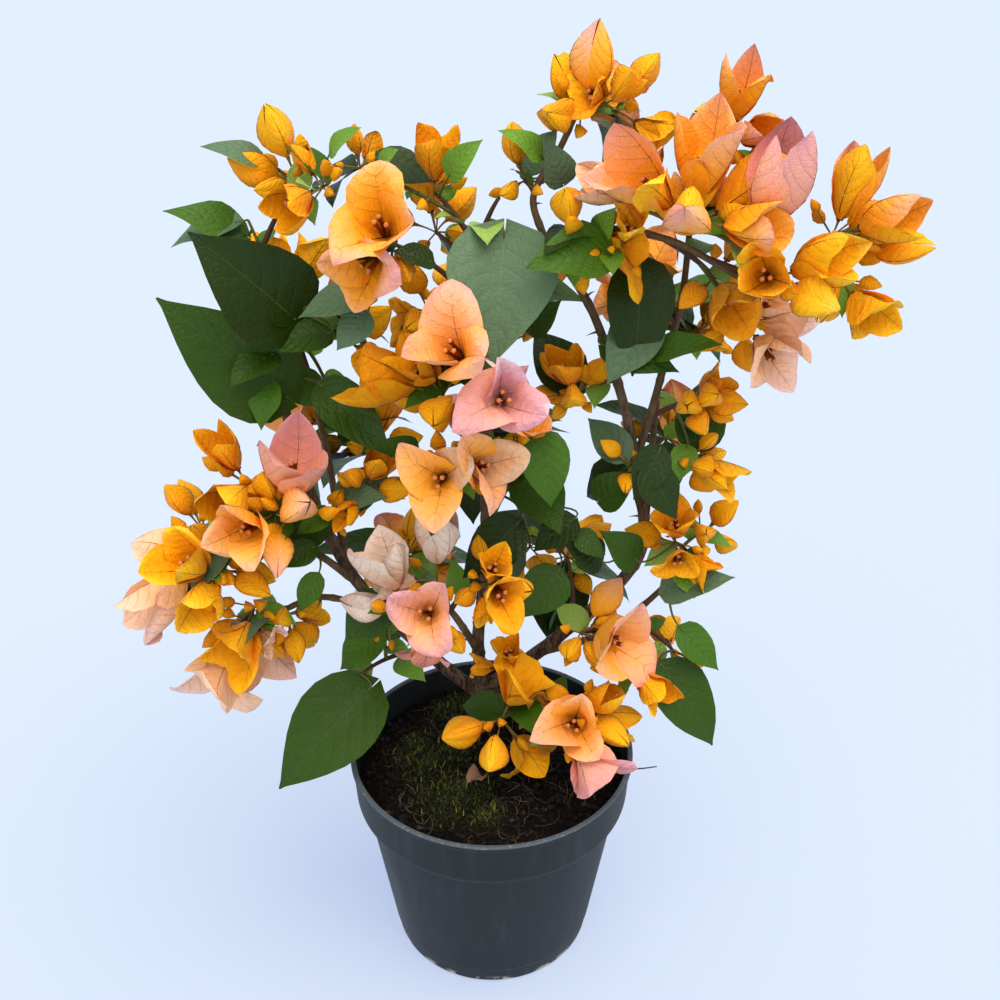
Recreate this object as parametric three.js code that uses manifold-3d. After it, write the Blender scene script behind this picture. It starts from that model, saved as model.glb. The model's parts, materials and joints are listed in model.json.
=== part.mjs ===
/**
 * Bougainvillea bush in a plastic nursery pot, in millimetres, +Z up.
 *
 * The origin is the centre of the pot's flat underside. A short flared trunk stands on the soil and
 * splits into three main stems, which fan out to the left, the centre and the right; the right one
 * is two limbs, which meet at its bend. Thinner boughs leave the stems. Every mass of foliage grows
 * from one stem on a limb: twigs run to the hearts of its sprays, and each spray carries open blooms
 * of three papery bracts, closed lanterns and leaves.
 */
import * as THREE from "three";
import { mergeVertices } from "three/addons/utils/BufferGeometryUtils.js";
import Module from "manifold-3d";

const wasm = await Module();
wasm.setup();

// ---------------------------------------------------------------------------------------------
// Driving dimensions
// ---------------------------------------------------------------------------------------------

const CLEARANCE = 0.3; // gap between two pieces that meet

const POT = {
  height: 136,
  rimRadius: 84.5,
  lipHeight: 3,
  lipOverhang: 1.2,
  bandHeight: 30,
  bandTaper: 1.4,
  shoulder: 5,
  baseRadius: 60.5,
  bodyTopRadius: 76.5,
  chamfer: 1.2,
  wall: 2,
  facets: 36,
};

const SOIL = { top: 124, edge: 116, plateau: 50 };

const TRUNK = { sunk: 5, flare: 3.2, flarePower: 7, base: 6.4, tip: 5.2, sides: 9, segments: 7 };

const STALK = { length: 8, extra: 7, base: 1.15, tip: 0.95 };
const BLOOM = { length: 38, core: 2.6, open: 0.85, openSpread: 0.4 };
const LANTERN = { length: 26, girth: 0.36, belly: 0.42 };
const LEAF = { length: 60, widthRatio: 0.62, thick: 1.5, belly: 0.42 };
const KNOB_RADIUS = 4; // the heart of a spray, where its stalks and leaves meet
const STEM = { base: 1.9, tip: 1.4, sides: 3, segments: 3, lift: 0.16 };
const TWIG = { base: 1.4, tip: 1.15, sides: 3, segments: 2, lift: 0.1, forkAt: 0.55 };
const LIMB = { sides: 6, segmentsPerPlace: 2 };

const HEART_BEHIND_BLOOM = 0.55; // of a bloom's length, from a spray's middle back to its heart
const HEART_BEHIND_LEAF = 0.5; // of a leaf's length, in a spray that has only leaves
const HEAD_SPREAD = 1.15; // widest angle between a spray's facing and a bloom, in radians
const LEAF_SPREAD = [1.25, 2.0]; // range of that angle for the leaves behind the blooms
const LEAF_DROOP = 0.3; // how much a leaf leans down
const LEAD_SWAY = 0.12; // how far a leading leaf sways from its facing as it looks for room
const GOLDEN_ANGLE = Math.PI * (3 - Math.sqrt(5));
const SPACE_MARGIN = 0.5; // an element stays this far inside the space of its mass
const SHRINK_STEPS = [1, 0.86, 0.72, 0.6]; // sizes tried for an element that doesn't fit
const TURN_TRIES = 5; // turns about the facing tried at each size
const TURN_STEP = 1.3; // radians from one of those turns to the next
const HEART_ZONE = 8; // within this, the elements of one spray may run into one another
const POT_MARGIN = 1.5; // no leaf or bract comes nearer to the pot

const UP = new THREE.Vector3(0, 0, 1);

// The limbs: where each starts on its parent, the places it passes, and its radius at both ends.
const TRUNK_ROUTE = [[-4, 32, SOIL.top - TRUNK.sunk], [-4, 32, 134], [-6, 31, 146], [-6, 30, 160]];
const LIMBS = [
  limb("left_stem", "trunk", 0.72, [[-37, 28, 182], [-83, 20, 251], [-109, 22, 347], [-113, 25, 438]],
    4.2, 1.9),
  limb("centre_stem", "trunk", 0.97, [[-8, 24, 196], [1, 16, 295], [-5, 16, 383], [-6, 20, 440]], 3.9, 1.8),
  limb("right_stem", "trunk", 0.84, [[41, 36, 190], [86, 34, 250], [80, 28, 310]], 4.3, 3),
  limb("right_upper_stem", "right_stem", 0.97, [[72, 24, 345], [51, 20, 404], [24, 15, 446]], 2.9, 1.8),
  limb("right_high_bough", "right_upper_stem", 0.05, [[90, 26, 365], [97, 24, 407], [98, 20, 450]], 2.3, 1.5),
  limb("right_arch_bough", "right_upper_stem", 0.85,
    [[53, 10, 447], [85, 0, 446], [135, -5, 424], [165, -2, 430]], 1.9, 1.4),
  limb("top_bough", "right_upper_stem", 0.97, [[21, 15, 462], [33, 15, 485], [41, 15, 503]], 1.8, 1.4),
  limb("left_low_bough", "left_stem", 0.36, [[-105, 5, 273], [-133, -4, 281]], 2.4, 1.4),
  limb("left_hanging_bough", "left_stem", 0.28, [[-98, 6, 238], [-126, 0, 228]], 2.2, 1.4),
  limb("front_bough", "centre_stem", 0.1, [[-24, 4, 232], [-42, -12, 262]], 2.4, 1.4),
  limb("right_low_bough", "right_stem", 0.21, [[66, 30, 196], [96, 25, 228], [112, 20, 258]], 2.4, 1.4),
  limb("back_left_bough", "left_stem", 0.4, [[-92, 48, 300], [-102, 68, 345]], 2.4, 1.5),
  limb("back_centre_bough", "centre_stem", 0.3, [[-4, 46, 285], [-2, 68, 345]], 2.4, 1.5),
  limb("back_right_bough", "right_stem", 0.74, [[92, 56, 312], [96, 72, 350]], 2.4, 1.5),
];

// The masses of foliage: the limb each stem starts on, and its sprays. A spray has its middle, its
// facing, its numbers of open blooms, lanterns and leaves, and its size against the usual one.
const MASSES = [
  mass("left_crown_tip", "left_stem", 0.99, "orange", [
    spray([-104, 20, 488], [-1, -1, 1.6], 0, 3, 2, 0.95),
    spray([-90, 8, 462], [-0.2, -2, 0.8], 1, 1, 2, 0.95),
  ]),
  mass("left_crown_fresh", "centre_stem", 0.98, "leaf", [
    spray([-26, 20, 474], [0.1, -1, 1.3], 1, 0, 2, 0.8),
    spray([-65, 30, 484], [-0.2, -0.6, 1.6], 0, 1, 4, 0.62),
  ]),
  mass("left_crown_bloom", "centre_stem", 0.88, "orange", [
    spray([-52, -6, 460], [-0.1, -2, 0.7], 2, 1, 1, 1.0),
  ]),
  mass("left_high_leaves", "left_stem", 0.8, "leaf", [
    spray([-124, 2, 424], [-1, -0.3, 0.6], 0, 0, 1, 1.1),
    spray([-142, 10, 380], [-1, -0.2, 0.9], 0, 0, 2, 1.15),
    spray([-142, 30, 452], [-1, -0.2, 0.3], 0, 0, 2, 0.75),
  ]),
  mass("left_inner_leaves", "left_stem", 0.72, "leaf", [
    spray([-76, 34, 402], [0.7, -0.8, 0.3], 0, 0, 4, 0.85),
    spray([-78, 36, 338], [0.6, -0.9, -0.3], 0, 0, 4, 0.8),
  ]),
  mass("centre_left_gold", "centre_stem", 0.74, "gold", [
    spray([-40, 14, 408], [-0.6, -1, 0.6], 0, 3, 1, 0.9),
    spray([-38, -18, 370], [-0.9, -1.2, 0.3], 2, 1, 1, 0.95),
  ]),
  mass("centre_leaf", "centre_stem", 0.99, "leaf", [
    spray([8, 10, 428], [0.1, -0.2, -1], 0, 0, 2, 1.15),
  ]),
  mass("centre_bloom", "centre_stem", 0.82, "peach", [
    spray([-18, -38, 412], [-0.3, -2, 0.8], 1, 1, 0, 1.05),
    spray([8, -46, 384], [0.35, -2, 0.2], 1, 0, 0, 1.05),
  ]),
  mass("centre_low_bloom", "centre_stem", 0.6, "peach", [
    spray([-18, -42, 338], [-0.2, -2, 0.1], 2, 0, 0, 1.1),
    spray([18, -28, 344], [0.5, -1.6, 0.2], 1, 0, 1, 0.8),
  ]),
  mass("pale_bloom", "front_bough", 0.99, "cream", [
    spray([-50, -38, 292], [-0.5, -1.6, 0.7], 1, 0, 0, 1.1),
    spray([-36, -50, 264], [0.2, -2, -0.3], 1, 0, 1, 1.0),
  ]),
  mass("low_gold", "front_bough", 0.55, "gold", [
    spray([2, -42, 270], [0.4, -2, 0.2], 2, 1, 0, 0.85),
  ]),
  mass("centre_leaves", "centre_stem", 0.45, "leaf", [
    spray([26, -6, 310], [0.5, -1, -0.3], 0, 0, 4, 0.8),
    spray([30, 14, 256], [0.6, -1, -0.2], 0, 1, 4, 0.8),
  ]),
  mass("centre_right_gold", "right_upper_stem", 0.4, "gold", [
    spray([40, 6, 360], [-0.4, -1, 0.3], 1, 3, 1, 0.75),
  ]),
  mass("top_lantern", "top_bough", 0.35, "gold", [
    spray([10, 12, 478], [-0.6, -1, 0.9], 0, 2, 3, 0.75),
  ]),
  mass("top_bloom", "right_arch_bough", 0.16, "orange", [
    spray([36, -20, 446], [-0.2, -1.6, 0.2], 0, 1, 0, 1.3),
    spray([66, -22, 446], [0.4, -1.6, 0.3], 1, 0, 1, 0.8),
  ]),
  mass("crown_tip", "top_bough", 0.99, "orange", [
    spray([50, 14, 526], [0.2, -0.4, 1.6], 0, 1, 0, 1.2),
    spray([30, 18, 510], [-0.8, -0.6, 0.8], 0, 3, 0, 0.95),
    spray([76, 22, 508], [1, -0.4, 0.5], 0, 2, 1, 0.9),
  ]),
  mass("right_crown_bloom", "right_high_bough", 0.97, "peach", [
    spray([97, -20, 482], [0.2, -1.6, 0.9], 2, 1, 1, 1.1),
    spray([66, -4, 486], [-0.4, -1.5, 1], 2, 0, 0, 1.05),
    spray([119, 18, 507], [0.4, -0.9, 1.2], 1, 1, 0, 0.95),
    spray([142, 4, 484], [0.5, -0.8, 1.2], 1, 0, 0, 1.1),
  ]),
  mass("right_crown_gold", "right_arch_bough", 0.56, "gold", [
    spray([138, -30, 444], [0.2, -1.8, 0.1], 2, 1, 0, 1.0),
  ]),
  mass("right_tip", "right_arch_bough", 0.99, "orange", [
    spray([172, -2, 464], [0.6, -0.9, 1], 1, 2, 0, 0.95),
    spray([196, 0, 441], [1.4, -0.5, 0.3], 0, 1, 0, 1.1),
    spray([176, -14, 420], [0.6, -1.2, -0.5], 1, 0, 0, 0.9),
  ]),
  mass("right_under", "right_arch_bough", 0.4, "orange", [
    spray([116, 4, 416], [0.3, -1.3, -0.3], 1, 1, 0, 0.85),
    spray([138, 10, 388], [0.7, -1.2, -0.6], 2, 1, 1, 0.9),
  ]),
  mass("right_mid", "right_high_bough", 0.2, "gold", [
    spray([120, 12, 352], [0.9, -1, 0.1], 1, 3, 0, 0.85),
    spray([120, 8, 316], [1, -1, -0.3], 1, 2, 1, 0.8),
  ]),
  mass("right_leaf", "right_high_bough", 0.6, "leaf", [
    spray([70, 2, 392], [-0.7, -0.8, -0.6], 0, 0, 3, 0.95),
  ]),
  mass("right_knot", "right_stem", 0.86, "leaf", [
    spray([72, -2, 316], [-0.3, -1.2, -0.3], 0, 1, 5, 0.75),
  ]),
  mass("right_low", "right_low_bough", 0.99, "gold", [
    spray([100, -2, 276], [-0.2, -1.2, 0.5], 1, 1, 0, 0.85),
    spray([133, 18, 272], [1, -0.8, 0.4], 0, 2, 0, 0.85),
    spray([124, 2, 236], [1, -0.3, -0.1], 0, 0, 2, 0.8),
  ]),
  mass("right_base_bloom", "right_low_bough", 0.35, "peach", [
    spray([62, -12, 224], [0.3, -1.8, 0.4], 2, 1, 0, 1.05),
    spray([88, -12, 194], [0.7, -1.4, -0.2], 1, 0, 0, 0.9),
  ]),
  mass("right_base_leaf", "right_low_bough", 0.5, "leaf", [
    spray([118, 8, 178], [0.7, -0.5, -1], 0, 1, 3, 0.95),
  ]),
  mass("base_front", "trunk", 0.82, "peach", [
    spray([44, -34, 172], [0.5, -1.8, -0.1], 2, 1, 0, 1.0),
    spray([2, -40, 168], [-0.3, -1.8, -0.1], 0, 2, 1, 1.0),
    spray([10, -8, 196], [0.1, -1.5, 0.8], 1, 1, 2, 0.75),
  ]),
  mass("left_gold", "left_low_bough", 0.7, "gold", [
    spray([-144, 0, 332], [-0.7, -1, 0.8], 1, 1, 0, 1.05),
    spray([-106, -22, 332], [0.3, -1.6, 0.5], 1, 0, 0, 1.05),
    spray([-142, -22, 302], [-0.5, -1.8, 0.1], 1, 1, 0, 1.0),
  ]),
  mass("left_tip", "left_low_bough", 0.99, "peach", [
    spray([-176, -6, 256], [-1.2, -1, -0.1], 2, 0, 0, 1.1),
    spray([-150, -30, 264], [-0.1, -1.8, -0.2], 1, 1, 0, 0.85),
    spray([-172, 6, 290], [-1, -0.4, 0.8], 0, 2, 1, 0.85),
  ]),
  mass("left_hanging", "left_hanging_bough", 0.99, "peach", [
    spray([-148, -18, 212], [-0.5, -1, -1], 2, 0, 0, 1.05),
    spray([-112, -2, 210], [0.3, -0.6, -1], 0, 2, 0, 0.85),
  ]),
  mass("left_inner", "left_stem", 0.46, "leaf", [
    spray([-82, 0, 292], [0.3, -1, 0.2], 0, 1, 4, 0.7),
    spray([-60, -4, 310], [0.6, -1.2, 0.4], 1, 2, 0, 0.75),
  ]),
  mass("left_base_leaf", "left_stem", 0.16, "leaf", [
    spray([-98, -22, 166], [-0.8, -0.6, -0.9], 0, 0, 1, 1.3),
    spray([-62, -6, 222], [-0.2, -1, 0.3], 0, 1, 3, 0.65),
  ]),
  mass("back_left_high", "back_left_bough", 0.99, "orange", [
    spray([-122, 92, 398], [-0.6, 1.2, 0.8], 2, 1, 2, 1.0),
    spray([-80, 96, 372], [0.3, 1.4, 0.4], 1, 1, 2, 0.95),
  ]),
  mass("back_left_mid", "back_left_bough", 0.5, "peach", [
    spray([-112, 88, 312], [-0.9, 1.1, -0.1], 2, 1, 3, 1.0),
    spray([-66, 92, 296], [0.3, 1.4, 0], 1, 1, 2, 0.9),
  ]),
  mass("back_centre_high", "back_centre_bough", 0.99, "gold", [
    spray([-16, 98, 398], [-0.3, 1.3, 0.7], 2, 2, 2, 1.0),
    spray([26, 96, 374], [0.5, 1.3, 0.2], 1, 1, 3, 0.95),
  ]),
  mass("back_centre_mid", "back_centre_bough", 0.5, "leaf", [
    spray([-10, 92, 306], [-0.1, 1.4, -0.1], 1, 1, 4, 0.95),
  ]),
  mass("back_right_high", "back_right_bough", 0.99, "orange", [
    spray([84, 98, 398], [-0.1, 1.3, 0.8], 2, 1, 2, 1.0),
    spray([128, 82, 376], [1, 0.9, 0.4], 1, 2, 2, 0.95),
  ]),
  mass("back_right_mid", "back_right_bough", 0.5, "peach", [
    spray([112, 92, 304], [0.6, 1.2, -0.1], 2, 1, 3, 0.95),
  ]),
  mass("back_low_left", "left_stem", 0.2, "peach", [
    spray([-58, 84, 226], [-0.4, 1.3, -0.2], 1, 2, 4, 0.95),
  ]),
  mass("back_low_right", "right_stem", 0.35, "orange", [
    spray([52, 90, 222], [0.4, 1.3, -0.2], 1, 2, 4, 0.95),
  ]),
  mass("back_top", "centre_stem", 0.92, "leaf", [
    spray([-34, 66, 446], [-0.4, 1, 0.8], 1, 1, 3, 0.9),
  ]),
];

const COLOURS = {
  plastic: 0x3f454e,
  soil: 0x2a231c,
  bark: 0x5a4632,
  gold: 0xe0a024,
  orange: 0xea8a22,
  peach: 0xeca878,
  cream: 0xd8c4ac,
  leaf: 0x2f5226,
};

// ---------------------------------------------------------------------------------------------
// Table rows
// ---------------------------------------------------------------------------------------------

function limb(name, parent, at, route, base, tip) {
  return { name, parent, at, route, base, tip };
}

function spray(middle, facing, blooms, lanterns, leaves, size) {
  const centre = new THREE.Vector3(...middle);
  const aim = new THREE.Vector3(...facing).normalize();
  return { centre, aim, blooms, lanterns, leaves, size };
}

function mass(name, limbName, at, tone, sprays) {
  return { name, limbName, at, tone, sprays };
}

// ---------------------------------------------------------------------------------------------
// Solids
// ---------------------------------------------------------------------------------------------

function solidFrom(geometry) {
  const bare = geometry.clone();
  bare.deleteAttribute("normal");
  bare.deleteAttribute("uv");
  const merged = mergeVertices(bare, 1e-4);
  const vertProperties = Float32Array.from(merged.attributes.position.array);
  const triVerts = Uint32Array.from(merged.index.array);
  return new wasm.Manifold(new wasm.Mesh({ numProp: 3, vertProperties, triVerts }));
}

function geometryFrom(solid) {
  const mesh = solid.getMesh();
  const geometry = new THREE.BufferGeometry();
  const positions = new Float32Array(mesh.numVert * 3);
  for (let vertex = 0; vertex < mesh.numVert; vertex += 1) {
    for (let axis = 0; axis < 3; axis += 1) {
      positions[vertex * 3 + axis] = mesh.vertProperties[vertex * mesh.numProp + axis];
    }
  }
  geometry.setAttribute("position", new THREE.BufferAttribute(positions, 3));
  geometry.setIndex(new THREE.BufferAttribute(Uint32Array.from(mesh.triVerts), 1));
  geometry.computeVertexNormals();
  return geometry;
}

/** Keeps the largest body of a solid, so that scraps left by a cut are dropped. */
function largestBody(solid) {
  const bodies = solid.decompose();
  return bodies.reduce((best, body) => (body.volume() > best.volume() ? body : best));
}

function unionOf(solids) {
  return wasm.Manifold.union(solids);
}

/** A tube along a curve: a cylinder whose rings are moved onto the curve's own frames. */
function tube(curve, radiusAt, { sides, segments }, swell = 0) {
  const geometry = new THREE.CylinderGeometry(1, 1, 1, sides, segments);
  const frames = curve.computeFrenetFrames(segments);
  const position = geometry.attributes.position;
  for (let i = 0; i < position.count; i += 1) {
    const ring = Math.round((0.5 + position.getY(i)) * segments);
    const along = ring / segments;
    const overrun = (ring === segments ? swell : 0) - (ring === 0 ? swell : 0);
    const radius = radiusAt(along) + swell;
    const point = curve.getPointAt(along);
    point.addScaledVector(frames.tangents[ring], overrun);
    point.addScaledVector(frames.normals[ring], position.getX(i) * radius);
    point.addScaledVector(frames.binormals[ring], -position.getZ(i) * radius);
    position.setXYZ(i, point.x, point.y, point.z);
  }
  return geometry;
}

/**
 * A spindle along an axis: rings of corners from its foot to its last ring, and a point that closes
 * it. Each ring gives its height, and the reach of a corner across the axis by that corner's turn.
 * The point may stand above the last ring, or sink below it as the floor of a cup.
 */
function spindle({ foot, axis, across }, sides, rings, pointHeight) {
  const geometry = new THREE.CylinderGeometry(1, 1, 1, sides, rings.length - 1);
  const position = geometry.attributes.position;
  const sideways = new THREE.Vector3().crossVectors(across, axis);
  for (let i = 0; i < position.count; i += 1) {
    const ringNumber = Math.round((0.5 + position.getY(i)) * (rings.length - 1));
    const ring = rings[ringNumber];
    const onRing = Math.hypot(position.getX(i), position.getZ(i)) > 0.5;
    const turn = Math.atan2(position.getZ(i), position.getX(i));
    const [first, second] = onRing ? ring.corner(turn) : [0, 0];
    const height = !onRing && ringNumber > 0 ? pointHeight : ring.height;
    const point = foot.clone().addScaledVector(axis, height);
    point.addScaledVector(across, first).addScaledVector(sideways, second);
    position.setXYZ(i, point.x, point.y, point.z);
  }
  return geometry;
}

/** The corner of a round ring. */
function roundCorner(radius) {
  return (turn) => [radius * Math.cos(turn), radius * Math.sin(turn)];
}

/** An open bloom of three broad bracts on its stalk: a three-cornered cup with a thick floor. */
function bloom(frame, stalk, open, length) {
  const rings = [
    { height: 0, corner: roundCorner(STALK.base) },
    { height: stalk, corner: roundCorner(STALK.tip) },
    { height: stalk + length * Math.cos(open), corner: roundCorner(length * Math.sin(open)) },
  ];
  return spindle(frame, 3, rings, stalk + BLOOM.core);
}

/** A closed lantern of three bracts on its stalk. */
function lantern(frame, stalk, length) {
  const rings = [
    { height: 0, corner: roundCorner(STALK.base) },
    { height: stalk, corner: roundCorner(STALK.tip) },
    { height: stalk + length * LANTERN.belly, corner: roundCorner(length * LANTERN.girth) },
  ];
  return spindle(frame, 3, rings, stalk + length);
}

/** A leaf: a round root that opens into a thin blade, widest at its belly. */
function leaf(frame, length) {
  const rings = [
    { height: 0, corner: roundCorner(STALK.base) },
    {
      height: length * LEAF.belly,
      corner: (turn) => [
        0.5 * length * LEAF.widthRatio * Math.cos(turn),
        0.5 * LEAF.thick * Math.sin(turn),
      ],
    },
  ];
  return spindle(frame, 4, rings, length);
}

function knob(centre, radius) {
  const geometry = new THREE.OctahedronGeometry(radius, 0);
  geometry.translate(centre.x, centre.y, centre.z);
  return geometry;
}

// ---------------------------------------------------------------------------------------------
// Pot and soil
// ---------------------------------------------------------------------------------------------

function potProfile() {
  const bandBottom = POT.height - POT.bandHeight;
  const bodyTop = bandBottom - 2;
  const bandRadius = POT.rimRadius - POT.lipOverhang;
  const floor = POT.wall * 1.75;
  const outer = [
    [0, 0],
    [POT.baseRadius - POT.chamfer, 0],
    [POT.baseRadius, POT.chamfer],
    [POT.bodyTopRadius, bodyTop],
    [POT.bodyTopRadius + POT.shoulder, bandBottom],
    [bandRadius - POT.bandTaper, bandBottom + 1.5],
    [bandRadius, POT.height - POT.lipHeight - 0.8],
    [POT.rimRadius, POT.height - POT.lipHeight],
    [POT.rimRadius, POT.height - 0.6],
    [POT.rimRadius - 0.6, POT.height],
  ];
  const inner = [
    [bandRadius - POT.wall, POT.height],
    [bandRadius - POT.bandTaper - POT.wall, bandBottom + 3],
    [POT.bodyTopRadius - POT.wall, bodyTop],
    [POT.baseRadius - POT.wall, floor],
    [0, floor],
  ];
  return { outer, inner };
}

function lathe(points) {
  const profile = points.map(([radius, height]) => new THREE.Vector2(radius, height));
  const geometry = new THREE.LatheGeometry(profile, POT.facets);
  geometry.rotateX(Math.PI / 2);
  return geometry;
}

function potGeometry() {
  const { outer, inner } = potProfile();
  return lathe([...outer, ...inner]);
}

/** The soil fills the pot up to its own top, a gap inside the wall all round. */
function soilGeometry() {
  const { inner } = potProfile();
  const [, bandStart, bodyTop, floor] = inner;
  const gap = CLEARANCE + 0.05;
  return lathe([
    [0, floor[1] + CLEARANCE],
    [floor[0] - gap, floor[1] + CLEARANCE],
    [bodyTop[0] - gap, bodyTop[1] + CLEARANCE],
    [bandStart[0] - gap, bandStart[1] + CLEARANCE],
    [bandStart[0] - gap, SOIL.edge],
    [SOIL.plateau, SOIL.top],
    [0, SOIL.top],
  ]);
}

// ---------------------------------------------------------------------------------------------
// Trunk and limbs
// ---------------------------------------------------------------------------------------------

const limbs = new Map();

function registerLimb(name, points, radiusAt, shape) {
  const curve = new THREE.CatmullRomCurve3(points);
  const entry = { name, curve, radiusAt, shape };
  entry.guard = solidFrom(tube(curve, radiusAt, shape, CLEARANCE));
  entry.solid = solidFrom(tube(curve, radiusAt, shape));
  limbs.set(name, entry);
  return entry;
}

function growTrunk() {
  const points = TRUNK_ROUTE.map((place) => new THREE.Vector3(...place));
  const radiusAt = (along) =>
    THREE.MathUtils.lerp(TRUNK.base, TRUNK.tip, along) + TRUNK.flare * (1 - along) ** TRUNK.flarePower;
  const trunk = registerLimb("trunk", points, radiusAt, TRUNK);
  const ground = new THREE.BoxGeometry(60, 60, 40);
  ground.translate(points[0].x, points[0].y, SOIL.top + CLEARANCE - 20);
  trunk.solid = trunk.solid.subtract(solidFrom(ground));
  trunk.start = new THREE.Vector3(points[0].x, points[0].y, SOIL.top + CLEARANCE);
}

/** A limb starts on its parent's axis, and the parent's swollen body cuts it free. */
function growLimb({ name, parent, at, route, base, tip }) {
  const start = limbs.get(parent).curve.getPointAt(at);
  const points = [start, ...route.map((place) => new THREE.Vector3(...place))];
  const radiusAt = (along) => THREE.MathUtils.lerp(base, tip, along);
  const shape = { sides: LIMB.sides, segments: LIMB.segmentsPerPlace * route.length };
  const grown = registerLimb(name, points, radiusAt, shape);
  const others = [...limbs.values()].filter((entry) => entry !== grown);
  grown.solid = largestBody(grown.solid.subtract(unionOf(others.map((entry) => entry.guard))));
  grown.start = start;
}

// ---------------------------------------------------------------------------------------------
// Foliage
// ---------------------------------------------------------------------------------------------

/** A repeatable draw between 0 and 1 for item i of a spray, and its k-th use. */
function draw(seed, i, k) {
  const wave = Math.sin(seed * 12.9898 + i * 78.233 + k * 37.719) * 43758.5453;
  return wave - Math.floor(wave);
}

/** Two unit vectors that make a right-handed frame with an axis. */
function acrossAxis(axis) {
  const reference = Math.abs(axis.z) > 0.95 ? new THREE.Vector3(1, 0, 0) : UP;
  const first = new THREE.Vector3().crossVectors(reference, axis).normalize();
  const second = new THREE.Vector3().crossVectors(axis, first);
  return [first, second];
}

/** The direction at an angle from an axis, turned about it. */
function tilted(axis, angle, turn) {
  const [first, second] = acrossAxis(axis);
  const result = axis.clone().multiplyScalar(Math.cos(angle));
  result.addScaledVector(first, Math.sin(angle) * Math.cos(turn));
  result.addScaledVector(second, Math.sin(angle) * Math.sin(turn));
  return result;
}

/** The heart of a spray, where its twig ends, lies behind its middle. */
function heartOf({ centre, aim, blooms, lanterns, size }) {
  const onlyLeaves = blooms + lanterns === 0;
  const back = onlyLeaves ? LEAF.length * HEART_BEHIND_LEAF : BLOOM.length * HEART_BEHIND_BLOOM;
  return centre.clone().addScaledVector(aim, -back * size);
}

/** A stem or twig bends from its start, first along its carrier, to a heart. */
function bentPath(start, lean, heart, lift) {
  const length = start.distanceTo(heart);
  const middle = new THREE.Vector3().lerpVectors(start, heart, 0.5);
  middle.addScaledVector(lean, lift * length);
  return new THREE.QuadraticBezierCurve3(start, middle, heart);
}

/** The stem of a mass, from its limb to the first heart, and a twig from it to every other heart. */
function stemsOf({ limbName, at, sprays }) {
  const carrier = limbs.get(limbName);
  const start = carrier.curve.getPointAt(at);
  const stem = bentPath(start, carrier.curve.getTangentAt(at), sprays[0].heart, STEM.lift);
  const taper = (size) => (along) => THREE.MathUtils.lerp(size.base, size.tip, along);
  const paths = [{ curve: stem, radiusAt: taper(STEM), shape: STEM }];
  for (const { heart } of sprays.slice(1)) {
    const fork = stem.getPointAt(TWIG.forkAt);
    const curve = bentPath(fork, stem.getTangentAt(TWIG.forkAt), heart, TWIG.lift);
    paths.push({ curve, radiusAt: taper(TWIG), shape: TWIG });
  }
  return paths;
}

/**
 * Whether every corner of a geometry, beyond its root at the heart, lies nearer to the middle of its
 * own spray than to any rival's.
 */
function insideSpace(geometry, { centre, heart }, rivals) {
  const position = geometry.attributes.position;
  const corner = new THREE.Vector3();
  for (let i = 0; i < position.count; i += 1) {
    corner.fromBufferAttribute(position, i);
    if (corner.distanceTo(heart) < KNOB_RADIUS) {
      continue;
    }
    const own = corner.distanceToSquared(centre);
    for (const rival of rivals) {
      const past = corner.distanceToSquared(rival) - own;
      if (past < 2 * SPACE_MARGIN * centre.distanceTo(rival)) {
        return false;
      }
    }
  }
  return true;
}

/**
 * Grows one element of a spray: of the turns about the facing and the sizes that it may take, the
 * first at which it keeps to its space, clear of the guards and of what the mass already holds.
 */
function grownElement(makeGeometry, row, rivals, guards, neighbours) {
  for (const scale of SHRINK_STEPS) {
    for (let attempt = 0; attempt < TURN_TRIES; attempt += 1) {
      const geometry = makeGeometry(scale, attempt * TURN_STEP);
      if (insideSpace(geometry, row, rivals)) {
        const solid = solidFrom(geometry);
        const outer = solid.subtract(row.heartZone);
        const clear = guards.every((guard) => solid.intersect(guard).isEmpty());
        if (clear && neighbours.every((other) => outer.intersect(other).isEmpty())) {
          return [solid];
        }
      }
    }
  }
  return [];
}

/** Head i of a spray, on its stalk: a bloom or a lantern. */
function headGeometry({ aim, heart, blooms, lanterns, size }, seed, i, scale, extraTurn) {
  const heads = blooms + lanterns;
  const spread = heads === 1 ? 0 : HEAD_SPREAD * Math.sqrt(i / (heads - 0.5));
  const turn = i * GOLDEN_ANGLE + draw(seed, i, 2) + extraTurn;
  const axis = tilted(aim, spread * (0.8 + 0.4 * draw(seed, i, 1)), turn);
  const across = tilted(axis, Math.PI / 2, 2 * Math.PI * draw(seed, i, 5));
  const frame = { foot: heart, axis, across };
  const stalk = (STALK.length + STALK.extra * draw(seed, i, 3)) * size;
  const open = BLOOM.open + BLOOM.openSpread * (draw(seed, i, 4) - 0.5);
  return i < blooms
    ? bloom(frame, stalk, open, BLOOM.length * size * scale)
    : lantern(frame, stalk, LANTERN.length * size * scale);
}

/** Leaf j, from the heart of its spray, with its upper face to the sky and to the front. */
function leafGeometry({ aim, heart, blooms, lanterns, size }, seed, j, scale, extraTurn) {
  const leads = blooms + lanterns === 0 && j === 0;
  const angle = leads ? LEAD_SWAY * extraTurn : THREE.MathUtils.lerp(...LEAF_SPREAD, draw(seed, j, 6));
  const axis = tilted(aim, angle, j * GOLDEN_ANGLE + 6 * draw(seed, 0, 7) + extraTurn);
  axis.z -= leads ? 0 : LEAF_DROOP;
  axis.normalize();
  const face = new THREE.Vector3(0, -0.45, 1).addScaledVector(aim, 0.5);
  const across = new THREE.Vector3().crossVectors(axis, face).normalize();
  const length = LEAF.length * size * (0.88 + 0.24 * draw(seed, j, 8));
  return leaf({ foot: heart, axis, across }, length * scale);
}

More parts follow.
